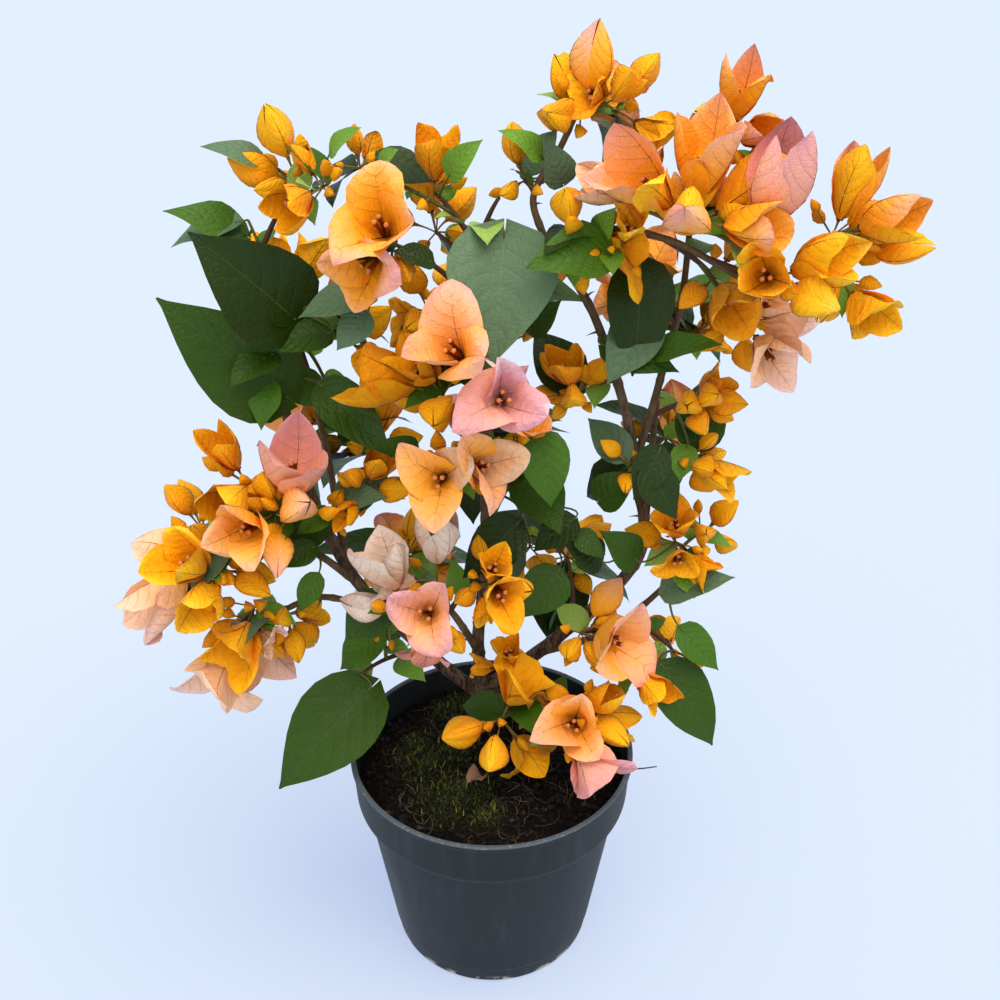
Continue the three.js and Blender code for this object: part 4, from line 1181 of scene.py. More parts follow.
def outline(u: np.ndarray, base: float, tip: float) -> np.ndarray:
    """Return the half width at share u of the length, u^base (1 - u)^tip over its highest value."""
    peak = base / (base + tip)
    top = peak**base * (1 - peak) ** tip
    inside = np.clip(u, 0.0, 1.0)
    return inside**base * (1 - inside) ** tip / top


@dataclass
class LeafBlade:
    """A leaf's sheet: an arc along its midrib, folded along it, rippled along its edges.

    Attributes:
        root: Where the blade meets its stalk.
        axis: Which way it starts.
        face: The normal of its upper side there.
        length: Its length.
        half_width: Half its greatest width.
        bend: How far the midrib turns down from root to tip, in radians.
        fold: Rise of each half over its width.
        ripple: Height of the edge waves against the half width.
        twist: How far the tip is turned about the midrib, in radians.
        phase: Where the waves start.
    """

    root: np.ndarray
    axis: np.ndarray
    face: np.ndarray
    length: float
    half_width: float
    bend: float = 0.5
    fold: float = 0.18
    ripple: float = 0.08
    twist: float = 0.0
    phase: float = 0.0
    base_power: float = 0.5
    tip_power: float = 1.2

    def at(self, u: np.ndarray, v: np.ndarray) -> np.ndarray:
        """Return points of the sheet.

        The midrib is the arc root + L (sin(bu)/b axis - (1 - cos(bu))/b face). A point lies s = v w(u) to its side,
        is lifted by fold |s| + ripple w |v|^3 sin(9u + phase), and drawn back by the lobes at the root.

        Args:
            u: Share of the length.
            v: Share of the half width, -1 to 1.

        Returns:
            The points.
        """
        u, v = np.broadcast_arrays(np.asarray(u, float), np.asarray(v, float))
        bend = self.bend if abs(self.bend) > 1e-3 else 1e-3
        angle = bend * u
        across = np.cross(self.axis, self.face)
        spine = (np.sin(angle) / bend)[..., None] * self.axis - ((1 - np.cos(angle)) / bend)[..., None] * self.face
        along = np.cos(angle)[..., None] * self.axis - np.sin(angle)[..., None] * self.face
        normal = np.sin(angle)[..., None] * self.axis + np.cos(angle)[..., None] * self.face
        turn = (self.twist * u)[..., None]
        side = np.cos(turn) * across + np.sin(turn) * normal
        normal = np.cos(turn) * normal - np.sin(turn) * across
        width = self.half_width * np.maximum(outline(u, self.base_power, self.tip_power), 0.02)
        s = v * width
        waves = np.sin(9 * u + self.phase + 1.7 * np.sign(v)) * np.abs(v) ** 3
        lift = self.fold * np.abs(s) + self.ripple * width * waves
        lobe = 0.34 * self.half_width * np.abs(v) ** 1.5 * (1 - u) ** 8
        return self.root + self.length * spine + side * s[..., None] + normal * lift[..., None] - along * lobe[..., None]


@dataclass
class Bract:
    """One of a head's three papery bracts, anywhere between folded into the lantern and open.

    Attributes:
        root: The head's foot.
        axis: The head's axis.
        out: The bract's own direction, square to the axis.
        length: Its length.
        open: 0 while it is a third of a closed lantern, 1 when it is open.
        spread: How far an open bract's tip leans from the axis, in radians.
        half_width: Half the open bract's width.
        ripple: Height of its edge waves against the half width.
        phase: Where the waves start.
        girth: The lantern's radius against its length.
        twist: How far an open bract is turned about its midrib at the tip, in radians.
        curl: How far its tip bends back, against its length.
        fold: Rise of each half of an open bract over its width.
        roll: How far its edges roll back, against the half width.
        tip_power: How pointed its outline is, from 0.58 blunt to 1 sharp.
    """

    root: np.ndarray
    axis: np.ndarray
    out: np.ndarray
    length: float
    open: float
    spread: float
    half_width: float
    ripple: float = 0.1
    phase: float = 0.0
    girth: float = 0.3
    twist: float = 0.0
    curl: float = 0.1
    fold: float = 0.25
    roll: float = 0.3
    tip_power: float = 0.7

    def pod(self, u: np.ndarray, v: np.ndarray, across: np.ndarray) -> np.ndarray:
        """Return points of the closed form, a third of a pod.

        The angle about the axis is 60v degrees and the radius girth L sin(pi u^0.86)^0.9, with a keel along the
        middle that stands three quarters higher than the seams.

        Args:
            u: Share of the length.
            v: Share of the half width, -1 to 1.
            across: The direction square to the axis and the bract's own.

        Returns:
            The points, from the head's foot.
        """
        belly = np.sin(math.pi * np.clip(u, 0, 1) ** 0.86) ** 0.9 * self.girth * self.length
        radius = belly * (0.68 + 0.52 * (1 - np.abs(v)) ** 1.4) + 0.02 * self.length * (1 - u)
        turn = v * math.pi / 3
        ring = np.cos(turn)[..., None] * self.out + np.sin(turn)[..., None] * across
        return (0.97 * self.length * u)[..., None] * self.axis + radius[..., None] * ring

    def flat(self, u: np.ndarray, v: np.ndarray, across: np.ndarray) -> np.ndarray:
        """Return points of the open form.

        The midrib is an arc that leans out from the axis and bends back by curl u^4 at its tip. The sides rise from
        a keel by 0.7 (1-u) s^2 / w + fold |s|, roll back by roll u w |v|^4 near the tip, are rippled along the
        edges, and the whole is wrinkled by 0.045 w sin(13u + phase) cos(5v + phase).

        Args:
            u: Share of the length.
            v: Share of the half width, -1 to 1.
            across: The direction square to the axis and the bract's own.

        Returns:
            The points, from the head's foot.
        """
        first = 0.1 + 0.3 * self.open
        turned = self.spread - first
        angle = first + turned * u
        rise = self.length * (np.sin(angle) - math.sin(first)) / turned
        lean = self.length * (math.cos(first) - np.cos(angle)) / turned + 0.03 * self.length
        normal = np.sin(angle)[..., None] * self.axis - np.cos(angle)[..., None] * self.out
        turn = (self.twist * u)[..., None]
        side = np.cos(turn) * across + np.sin(turn) * normal
        normal = np.cos(turn) * normal - np.sin(turn) * across
        width = self.half_width * np.maximum(outline(u, 0.62, self.tip_power), 0.02)
        s = v * width
        phase = self.phase + 1.3 * np.sign(v)
        waves = (np.sin(8 * u + phase) + 0.4 * np.sin(19 * u + 2 * phase)) * np.abs(v) ** 3
        lift = 0.7 * (1 - u) * s**2 / self.half_width + self.fold * np.abs(s) + self.ripple * width * waves
        lift = lift - self.roll * u * width * np.abs(v) ** 4 - self.curl * self.length * u**4
        lift = lift + 0.045 * width * np.sin(13 * u + self.phase) * np.cos(5 * v + self.phase)
        return rise[..., None] * self.axis + lean[..., None] * self.out + side * s[..., None] + normal * lift[..., None]

    def at(self, u: np.ndarray, v: np.ndarray) -> np.ndarray:
        """Return points of the bract, mixed from its closed and its open form by how far it is open.

        Args:
            u: Share of the length.
            v: Share of the half width, -1 to 1.

        Returns:
            The points.
        """
        u, v = np.broadcast_arrays(np.asarray(u, float), np.asarray(v, float))
        across = np.cross(self.axis, self.out)
        return self.root + (1 - self.open) * self.pod(u, v, across) + self.open * self.flat(u, v, across)


Sheet = LeafBlade | Bract


def sheet_normal(sheet: Sheet, u: np.ndarray, v: np.ndarray) -> np.ndarray:
    """Return the sheet's normals, from the cross product of its slopes across and along."""
    step = 0.01
    along = sheet.at(u + step, v) - sheet.at(u - step, v)
    across = sheet.at(u, v + step) - sheet.at(u, v - step)
    return unit(np.cross(across, along))


def sheet_grid(sheet: Sheet, rows: int, columns: int) -> tuple[np.ndarray, dict[str, np.ndarray]]:
    """Lay a grid on a sheet, its rows closer at both ends.

    Args:
        sheet: The sheet.
        rows: Points along it.
        columns: Points across it.

    Returns:
        The points, and their shares of the length and half width as the attributes run and side.
    """
    even = np.linspace(0, 1, rows)
    u = 0.45 * even + 0.55 * (0.5 - 0.5 * np.cos(math.pi * even))
    v = np.linspace(-1, 1, columns)
    run, side = np.broadcast_arrays(u[:, None], np.abs(v)[None, :])
    return sheet.at(u[:, None], v[None, :]), {"run": run, "side": side}


def midrib(sheet: Sheet, radius: float, end: float, steps: int) -> tuple[np.ndarray, list[np.ndarray]]:
    """Lay a four-sided rib along the middle of a sheet, thinning towards its end.

    Args:
        sheet: The sheet.
        radius: The rib's radius at the root.
        end: Where it ends, as a share of the length.
        steps: Rings.

    Returns:
        Its points and faces.
    """
    u = np.linspace(0.0, end, steps)
    return tube(sheet.at(u, np.zeros(steps)), radius * (1.05 - 0.85 * u / end), 4)


def side_veins(sheet: Sheet, pairs: int, width: float) -> tuple[np.ndarray, list]:
    """Lay pairs of thin side veins on both sides of a sheet.

    A vein leaves the midrib at its start and follows u = start + RUN t, v = REACH t^BOW out to the edge. It
    is two narrow strips, one 0.12 mm above the sheet and one as far below it.

    Args:
        sheet: The sheet.
        pairs: How many pairs.
        width: Half a vein's width at its start, as a share of the length.

    Returns:
        Points and faces of all the veins.
    """
    t = np.linspace(0, 1, 4)
    steps = len(t)
    side = np.array((-1.0, 1.0))
    starts = VEIN_FIRST + VEIN_GAP * np.arange(pairs)
    u = starts[:, None, None] + VEIN_RUN * t[None, None, :] + np.zeros((1, 2, 1))
    v = side[None, :, None] * VEIN_REACH * t[None, None, :] ** VEIN_BOW + np.zeros((pairs, 1, 1))
    half = width * (1 - 0.8 * t)[None, None, :]
    lift = 0.00012 * np.array((1.0, -1.0))
    normal = sheet_normal(sheet, u, v)
    edges = np.stack((sheet.at(u - half, v), sheet.at(u + half, v)), axis=3)
    points = edges[:, :, None] + normal[:, :, None, :, None] * lift[None, None, :, None, None, None]
    count = pairs * 4
    quads = grid_faces(steps, 2)
    faces = (np.arange(count)[:, None, None] * steps * 2 + quads[None]).reshape(-1, 4)
    return points.reshape(-1, 3), [faces]


# ---------------------------------------------------------------- growth


@dataclass
class Foliage:
    """Grows sprays on the limbs by a seeded rule and gathers leaves, bracts, veins, tubes and twigs.

    Attributes:
        wood: The framework that the sprays grow from.
        bloom_length: An open bract's length in millimetres.
        lantern_length: A closed lantern's length in millimetres.
        leaf_length: A leaf's length in millimetres.
    """

    wood: Framework
    bloom_length: float = 40.0
    lantern_length: float = 26.0
    leaf_length: float = 60.0
    leaf_ratio: float = 0.62
    stalk: tuple[float, float] = (8.0, 7.0)
    head_spread: float = 1.15
    leaf_spread: tuple[float, float] = (1.25, 2.0)
    slack: float = 0.007
    box_room: float = 0.006
    stray: float = 0.006
    leaf_rows: int = 11
    leaf_columns: int = 7
    bract_rows: int = 11
    bract_columns: int = 7
    head_gap: float = 0.62
    full_open: float = 0.85
    rise: float = 0.75
    flatten: tuple[float, float, float] = (1.0, 0.5, 1.0)

    def __post_init__(self) -> None:
        """Open one patchwork for each kind of thing."""
        petals = [BladeFinish("bract_" + name, code).material() for name, code in PETAL_CODES.items()]
        greens = [
            BladeFinish(name, code, (0.36, 0.5), 0.0008, 260.0, 0.0, 0.0, 0.2).material()
            for name, code in LEAF_CODES.items()
        ]
        self.bracts = Patchwork("bracts", "blossom", petals)
        self.leaves = Patchwork("leaves", "leaves", greens)
        self.bract_veins = Patchwork("bract_veins", "blossom", [
            StalkFinish("rib_brown", "7E4412").material(),
            StalkFinish("rib_plum", "8A4E44").material(),
            StalkFinish("vein_amber", "C27A18").material(),
            StalkFinish("vein_rose", "CB8670").material(),
        ])
        self.leaf_veins = Patchwork("leaf_veins", "leaves", [
            StalkFinish("rib_dark", "3C5A20").material(),
            # Rib of the painted sky-reflection leaves, in the same painted blue-green tint.
            StalkFinish("rib_painted_reflection", "6C8A66").material(),
            StalkFinish("rib_fresh", "86A848").material(),
            StalkFinish("vein_dark", "2C4A12").material(),
            # Side veins of the painted sky-reflection leaves, in the same painted blue-green tint.
            StalkFinish("vein_painted_reflection", "557058").material(),
            StalkFinish("vein_fresh", "76A03C").material(),
        ])
        self.tubes = Patchwork("flower_tubes", "blossom", [
            StalkFinish("tube_red_brown", "6E2C12").material(),
            StalkFinish("tube_tip", "D08048").material(),
        ])
        self.heads: list[tuple[np.ndarray, float]] = []
        self.stems: list[np.ndarray] = [curve.points(np.linspace(0, 1, 60)) for curve in self.wood.curves.values()]
        self.twigs = Patchwork("twigs", "bark", [
            StalkFinish("twig_brown", "4B2E1C", 0.65).material(),
            StalkFinish("twig_olive", "53561E").material(),
            StalkFinish("stalk_amber", "7E641E").material(),
        ])
        self.centres = np.array([spray.centre for mass in MASSES for spray in mass.sprays], float) * MM
        self.owners = np.array([index for index, mass in enumerate(MASSES) for _ in mass.sprays])
        low, high = CAD_BOX
        self.low = np.array(low) - self.box_room
        self.high = np.array(high) + self.box_room
        self.spaces = [np.array(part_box(mass.name), float) for mass in MASSES]

    def fits(self, points: np.ndarray, mass: int, heart: np.ndarray) -> bool:
        """Tell whether a shape keeps to its mass's own space and clear of limbs, pot and soil.

        Args:
            points: Points of the shape.
            mass: Its mass's number.
            heart: Where its spray starts.

        Returns:
            True if it does.
        """
        if (points < self.low).any() or (points > self.high).any():
            return False
        away = points[np.linalg.norm(points - heart, axis=1) > 0.006]
        if len(away):
            gaps = np.linalg.norm(away[:, None] - self.centres[None], axis=2)
            own = gaps[:, self.owners == mass].min(axis=1)
            other = gaps[:, self.owners != mass].min(axis=1)
            if (own - other > self.slack).any():
                return False
        reach = np.hypot(points[:, 0], points[:, 1])
        in_pot = (points[:, 2] < 0.1375) & (reach < 0.0865) & ((reach > 0.078) | (points[:, 2] < 0.127))
        if in_pot.any():
            return False
        return self.wood.clear_of(points, 0.0004, heart, 0.009)

    def at_home(self, point: np.ndarray, mass: int) -> bool:
        """Tell whether a point lies in the box of its mass's node, or less than stray past it."""
        low, high = self.spaces[mass]
        return bool(np.linalg.norm(np.maximum(np.maximum(low - point, point - high), 0)) < self.stray)

    def twig(self, path: np.ndarray, start: float, end: float, tone: int, sides: int = 6) -> None:
        """Add a twig whose radius falls evenly from start to end.

        Args:
            path: Its centre line.
            start: Its first radius.
            end: Its last radius.
            tone: Its material's number.
            sides: Points around it.
        """
        points, faces = tube(path, np.linspace(start, end, len(path)), sides)
        self.twigs.add(points, faces, tone)

    def grow(self) -> None:
        """Grow every mass, spray by spray."""
        for index, mass in enumerate(MASSES):
            curve = self.wood.curves[mass.limb]
            foot, lead = curve.points(mass.at), curve.along(mass.at)
            stem = None
            for number, spray in enumerate(mass.sprays):
                centre = np.array(spray.centre, float) * MM
                aim = unit(np.array(spray.facing, float))
                heads = spray.blooms + spray.lanterns
                behind = self.bloom_length * 0.55 if heads else self.leaf_length * 0.5
                heart = centre - aim * spray.size * behind * MM
                share = np.linspace(0, 1, 12)
                if stem is None:
                    middle = (foot + heart) / 2 + lead * 0.16 * np.linalg.norm(heart - foot)
                    stem = bezier(foot, middle, heart, share)
                    path = stem
                    self.twig(path, 0.0017, 0.00095, 0)
                else:
                    fork = stem[6]
                    away = unit(stem[7] - stem[5])
                    middle = (fork + heart) / 2 + away * 0.1 * np.linalg.norm(heart - fork)
                    path = bezier(fork, middle, heart, share)
                    self.twig(path, 0.0012, 0.0008, 1)
                self.stems.append(path)
                self.spray(index, number, spray, heart, aim)
                self.side_growth(index, index * 10 + number + 1, spray, path)

    def spray(self, mass: int, number: int, spray: Spray, heart: np.ndarray, aim: np.ndarray) -> None:
        """Grow one spray's heads and leaves from its heart.

        Args:
            mass: The mass's number.
            number: The spray's number in it.
            spray: Its plan.
            heart: Where it starts.
            aim: Which way it looks.
        """
        seed = mass * 10 + number + 1
        heads = spray.blooms + spray.lanterns
        for i in range(heads):
            for attempt in range(20):
                shrink = (1, 0.86, 0.72, 0.6)[attempt // 5]
                extra = 1.3 * (attempt % 5)
                gap = 0.58 if 0 < i and attempt < 15 else 0.0
                if self.head(mass, seed, i, heads, spray, heart, aim, spray.size * shrink, extra, gap):
                    break
        for j in range(spray.leaves):
            for attempt in range(20):
                shrink = (1, 0.86, 0.72, 0.6)[attempt // 5]
                extra = 1.3 * (attempt % 5)
                if self.leaf(mass, seed, j, heads, heart, aim, spray.size * shrink, extra):
                    break
        if heads:
            for i in range(heads, 2 * heads):
                for attempt in range(6):
                    small = spray.size * mix(0.62, 0.9, draw(seed, i, 141)) * (1 - 0.06 * attempt)
                    if self.head(mass, seed, i, heads, spray, heart, aim, small, 1.05 * attempt, self.head_gap):
                        break
            self.buds(mass, seed, heart, aim, spray.size)

    def buds(self, mass: int, seed: int, heart: np.ndarray, aim: np.ndarray, size: float) -> None:
        """Set a few tiny closed buds around a spray's heart, each a three-ridged spindle.

        The radius at angle a and share t of the length is 0.3 L sin(pi t^0.8) (1 + 0.2 cos 3a).

        Args:
            mass: The mass's number.
            seed: The spray's seed.
            heart: Where the spray starts.
            aim: Which way it looks.
            size: The spray's size.
        """
        angle = np.linspace(0, 2 * math.pi, 6, endpoint=False)
        for k in range(4):
            axis = tilted(aim, mix(0.5, 1.7, draw(seed, k, 151)), k * GOLDEN_ANGLE + 2 * draw(seed, k, 152))
            length = mix(0.007, 0.013, draw(seed, k, 153)) * size
            foot = heart + axis * mix(0.007, 0.016, draw(seed, k, 154)) * size
            share = np.array((0, 0.15, 0.4, 0.7, 0.9, 1.0))
            if not self.fits(foot + axis * length * share[:, None], mass, heart):
                continue
            belly = 0.3 * length * np.sin(math.pi * share**0.8) + 0.00025
            radius = belly[:, None] * (1 + 0.2 * np.cos(3 * angle))[None, :]
            points, faces = tube(foot + axis * length * share[:, None], radius, 6)
            tone = PETAL_NAMES.index(f"gold_{2 + int(4 * draw(seed, k, 155))}")
            self.bracts.add(points, faces, tone, run=np.repeat(share, 6), side=np.zeros(36))
            self.twig(bezier(heart, (heart + foot) / 2, foot, np.linspace(0, 1, 4)), 0.0004, 0.0005, 2, 5)

    def head(
        self,
        mass: int,
        seed: int,
        i: int,
        heads: int,
        spray: Spray,
        heart: np.ndarray,
        aim: np.ndarray,
        size: float,
        extra: float,
        gap: float,
    ) -> bool:
        """Grow one head of three bracts, on its stalk.

        Args:
            mass: The mass's number.
            seed: The spray's seed.
            i: The head's number.
            heads: How many heads the spray has.
            spray: The spray's plan.
            heart: Where the spray starts.
            aim: Which way it looks.
            size: The head's size.
            extra: How far it is turned on about the aim.
            gap: How far it keeps from other heads, against the sum of both radii.

        Returns:
            True if it fits.
        """
        spread = 0.0 if heads == 1 and i == 0 else self.head_spread * math.sqrt(i / (heads - 0.5))
        lean = min(spread, 1.9) * (0.8 + 0.4 * draw(seed, i, 1))
        keeps_aim = spray.open >= self.full_open or aim[2] < 0
        look = aim if keeps_aim else unit(aim * self.flatten + self.rise * UP)
        axis = tilted(look, lean, i * GOLDEN_ANGLE + draw(seed, i, 2) + extra)
        across = tilted(axis, math.pi / 2, 2 * math.pi * draw(seed, i, 5))
        stalk = (self.stalk[0] + self.stalk[1] * draw(seed, i, 3)) * size * MM
        late = i >= heads
        bloom = draw(seed, i, 35) < 0.34 if late else i < spray.blooms
        foot = heart + axis * stalk * (1.25 if late else 1)
        length = (self.bloom_length if bloom else self.lantern_length) * size * MM
        length *= mix(0.94, 1.08, draw(seed, i, 31))
        opening = spray.open * mix(0.8, 1.1, draw(seed, i, 32)) if bloom else 0.05 * draw(seed, i, 33) ** 2
        opening = min(opening, 1.0)
        middle, reach = foot + axis * length * 0.5, length * mix(0.34, 0.62, opening)
        if any(np.linalg.norm(middle - m) < gap * (reach + r) for m, r in self.heads):
            return False
        if not self.at_home(middle, mass):
            return False
        sheets = []
        for k in range(3):
            turn = 2 * math.pi * k / 3 + 0.5 * (draw(seed, i, 40 + k) - 0.5) * opening
            out = math.cos(turn) * across + math.sin(turn) * np.cross(axis, across)
            own = length * mix(0.9, 1.1, draw(seed, i, 50 + k))
            sheets.append(Bract(
                foot,
                axis,
                out,
                own if opening > 0.3 else length,
                float(np.clip(opening * mix(0.8, 1.15, draw(seed, i, 60 + k)), 0, 1)),
                mix(0.6, 1.75, draw(seed, i, 70 + k)) * mix(0.7, 1.0, opening),
                own * mix(0.32, 0.4, draw(seed, i, 74 + k)),
                mix(0.12, 0.36, draw(seed, i, 80 + k)),
                6.3 * draw(seed, i, 90 + k),
                mix(0.26, 0.33, draw(seed, i, 34)),
                mix(-0.75, 0.75, draw(seed, i, 93 + k)),
                mix(0.0, 0.3, draw(seed, i, 96 + k)),
                mix(0.25, 0.7, draw(seed, i, 44 + k)),
                mix(0.15, 1.3, draw(seed, i, 47 + k)),
                mix(0.58, 1.0, draw(seed, i, 37 + k)),
            ))
        probe = np.concatenate([s.at(np.array((0.55, 0.55, 0.55, 1.0)), np.array((-1, 0, 1, 0))) for s in sheets])
        if not self.fits(probe, mass, heart):
            return False
        self.heads.append((middle, reach))
        own_hue = spray.hue if bloom or length > 0.027 else Hue.YOUNG
        for k, sheet in enumerate(sheets):
            self.dress_bract(sheet, seed + i * 7 + k, own_hue)
        path = bezier(heart, heart + axis * stalk * 0.5 + aim * stalk * 0.12, foot, np.linspace(0, 1, 6))
        points, faces = tube(path, np.array((0.0005, 0.00048, 0.00048, 0.0005, 0.0006, 0.0011)), 6)
        self.twigs.add(points, faces, 2)
        if opening > 0.35:
            self.flower_tubes(sheets, seed + i)
        return True

    def dress_bract(self, sheet: Bract, seed: int, hue: Hue) -> None:
        """Add a bract and its veins, its colour running along its road from base to tip and paler at the edges.

        Args:
            sheet: The bract.
            seed: Seeds its tone.
            hue: Its spray's colour.
        """
        options = hue.value
        road, base, tip = options[int(draw(seed, 3, 101) * len(options)) % len(options)]
        rows, columns = self.bract_rows, self.bract_columns
        along = np.linspace(0, 1, rows - 1)[:, None]
        edge = np.abs(np.linspace(-1, 1, columns - 1))[None, :]
        step = base + (tip - base) * np.clip(along * 1.2 - 0.1, 0, 1) + 0.9 * edge**2 * along
        step = np.clip(np.rint(step + 0.8 * (draw(seed, 4, 101) - 0.5)), 0, 2 * len(ROADS[road]) - 2).astype(int)
        tone = PETAL_NAMES.index(road + "_0") + step
        points, marks = sheet_grid(sheet, rows, columns)
        self.bracts.add(points, [grid_faces(rows, columns)], tone.ravel(), **marks)
        rose = int(hue in (Hue.PINK, Hue.DUSTY, Hue.SALMON, Hue.CREAM, Hue.BLUSH))
        self.bract_veins.add(*midrib(sheet, 0.00028, 0.95, 7), rose)
        self.bract_veins.add(*side_veins(sheet, 5 if sheet.open > 0.3 else 4, 0.0026), 2 + rose)

    def flower_tubes(self, sheets: list[Bract], seed: int) -> None:
        """Add the three slender tubes that stand in an open head, each with a knobbed end.

        Args:
            sheets: The head's bracts.
            seed: Seeds their lean.
        """
        for k, sheet in enumerate(sheets):
            lean = unit(sheet.axis + sheet.out * mix(0.02, 0.16, draw(seed, k, 111)))
            length = sheet.length * mix(0.36, 0.48, draw(seed, k, 112))
            share = np.array((0, 0.3, 0.7, 0.84, 0.95, 1.0))
            path = sheet.root + sheet.out * 0.0012 + lean * length * share[:, None]
            radius = np.array((0.0009, 0.00115, 0.0009, 0.0014, 0.0013, 0.0005))
            points, faces = tube(path, radius, 6)
            tones = np.concatenate((np.repeat((0, 0, 0, 0, 1), 6), (0, 1)))
            self.tubes.add(points, faces, tones)

    def leaf(
        self,
        mass: int,
        seed: int,
        j: int,
        heads: int,
        heart: np.ndarray,
        aim: np.ndarray,
        size: float,
        extra: float,
    ) -> bool:
        """Grow one leaf at a spray's heart.

        Args:
            mass: The mass's number.
            seed: The spray's seed.
            j: The leaf's number.
            heads: How many heads the spray has.
            heart: Where the spray starts.
            aim: Which way it looks.
            size: The leaf's size.
            extra: How far it is turned on about the aim.

        Returns:
            True if it fits.
        """
        leads = not heads and j == 0
        angle = 0.12 * extra if leads else mix(*self.leaf_spread, draw(seed, j, 6))
        axis = tilted(aim, angle, j * GOLDEN_ANGLE + 6 * draw(seed, 0, 7) + extra)
        if not leads:
            axis = unit(axis - 0.3 * UP)
        face = np.array((0, -0.45, 1)) + 0.5 * aim
        face = unit(face - axis * (face @ axis))
        length = self.leaf_length * size * (0.88 + 0.24 * draw(seed, j, 8)) * MM
        return self.blade(mass, seed + 13 * j, heart, heart, axis, face, length, not leads)

    def blade(
        self,
        mass: int,
        seed: int,
        heart: np.ndarray,
        root: np.ndarray,
        axis: np.ndarray,
        face: np.ndarray,
        length: float,
        droops: bool,
    ) -> bool:
        """Add a leaf blade on its stalk, if it fits.

        Args:
            mass: The mass's number.
            seed: Seeds its shape and tone.
            heart: Where its spray or node is.
            root: Where its stalk starts.
            axis: Which way it points.
            face: Its upper side.
            length: Its length, stalk and all.
            droops: Whether it bends down more.

        Returns:
            True if it fits.
        """
        stalk = 0.16 * length
        bend = mix(0.35, 0.85, draw(seed, 1, 121)) if droops else mix(0.15, 0.45, draw(seed, 1, 121))
        sheet = LeafBlade(
            root + axis * stalk,
            axis,
            face,
            length * 0.9,
            length * self.leaf_ratio * 0.5 * mix(0.92, 1.1, draw(seed, 2, 121)),
            bend,
            mix(0.08, 0.3, draw(seed, 3, 121)),
            mix(0.04, 0.14, draw(seed, 4, 121)),
            mix(-0.35, 0.35, draw(seed, 5, 121)),
            6.3 * draw(seed, 6, 121),
        )
        probe = sheet.at(np.array((0.4, 0.4, 0.75, 1.0, 0.7, 0.7)), np.array((-1, 1, 0, 0, -1, 1)))
        if not self.fits(probe, mass, heart) or not self.at_home(root + axis * length * 0.5, mass):
            return False
        young = length < 0.03
        choice = draw(seed, 7, 121)
        if young:
            tone = 4 if choice < 0.6 else (5 if choice < 0.8 else 3)
        else:
            # Grown leaves draw their green at random, with the painted-shade and painted sky-reflection greens among
            # them.
            tone = (0, 1, 1, 2, 2, 3)[int(choice * 6)]
        self.dress_leaf(sheet, tone)
        scale = length / 0.06
        path = bezier(root, root + axis * stalk * 0.6, root + axis * stalk * 1.05, np.linspace(0, 1, 5))
        self.twig(path, 0.0007 * scale + 0.0001, 0.00055 * scale + 0.0001, 1, 5)
        return True

    def dress_leaf(self, sheet: LeafBlade, tone: int) -> None:
        """Add a leaf's sheet and its veins.

        Args:
            sheet: The leaf.
            tone: Its finish's number.
        """
        rows, columns = self.leaf_rows, self.leaf_columns
        points, marks = sheet_grid(sheet, rows, columns)
        self.leaves.add(points, [grid_faces(rows, columns)], tone, **marks)
        # Veins follow the leaf's tone; the painted sky-reflection green gets the painted blue-green rib and veins.
        family = (0, 0, 1, 0, 2, 2)[tone]
        self.leaf_veins.add(*midrib(sheet, 0.0052 * sheet.length, 0.96, 8), family)
        self.leaf_veins.add(*side_veins(sheet, 5 if sheet.length > 0.03 else 4, 0.0024), 3 + family)

    def accent(self, plan: Accent, number: int) -> None:
        """Set one of the telling leaves and lead its stalk to the nearest twig or limb.

        The blade is an arc whose chord runs from root to tip, so it starts leaned up from the chord by half its bend.

        Args:
            plan: The leaf's plan.
            number: Its number, which seeds its shape.
        """
        root, tip = np.array(plan.root, float) * MM, np.array(plan.tip, float) * MM
        chord = tip - root
        span = float(np.linalg.norm(chord))
        chord = chord / span
        face = np.array(plan.face, float)
        face = unit(face - chord * (face @ chord))
        bend = mix(0.3, 0.8, draw(number, 1, 161))
        half = bend / 2
        axis = math.cos(half) * chord + math.sin(half) * face
        up = math.cos(half) * face - math.sin(half) * chord
        length = span * half / math.sin(half)
        sheet = LeafBlade(
            root,
            axis,
            up,
            length,
            length * plan.ratio,
            bend,
            mix(0.08, 0.26, draw(number, 2, 161)),
            mix(0.06, 0.14, draw(number, 3, 161)),
            mix(-0.2, 0.2, draw(number, 4, 161)),
            6.3 * draw(number, 5, 161),
        )
        self.dress_leaf(sheet, LEAF_NAMES.index(plan.tone))
        places = np.concatenate(self.stems)
        start = places[np.argmin(np.linalg.norm(places - root, axis=1))]
        reach = np.linalg.norm(root - start)
        path = bezier(start, root - axis * 0.5 * reach, root + axis * 0.001, np.linspace(0, 1, 9))
        self.twig(path, 0.0008, 0.0004 * length / 0.05 + 0.00015, 1, 6)

    def side_growth(self, mass: int, seed: int, spray: Spray, path: np.ndarray) -> None:
        """Grow small leaves from the nodes along a spray's twig.

        Args:
            mass: The mass's number.
            seed: The spray's seed.
            spray: Its plan.
            path: The twig's centre line.
        """
        for k, step in enumerate((4, 8)):
            node = path[step]
            along = unit(path[step + 1] - path[step - 1])
            length = mix(0.014, 0.03, draw(seed, k, 131)) * spray.size
            for attempt in range(6):
                axis = tilted(along, mix(0.8, 1.35, draw(seed, k, 132)), k * 2.4 + attempt * 1.05 + draw(seed, k, 133))
                face = UP + 0.3 * along - np.array((0, 0.4, 0))
                face = unit(face - axis * (face @ axis))
                if self.blade(mass, seed * 3 + k, node, node, axis, face, length, True):
                    break

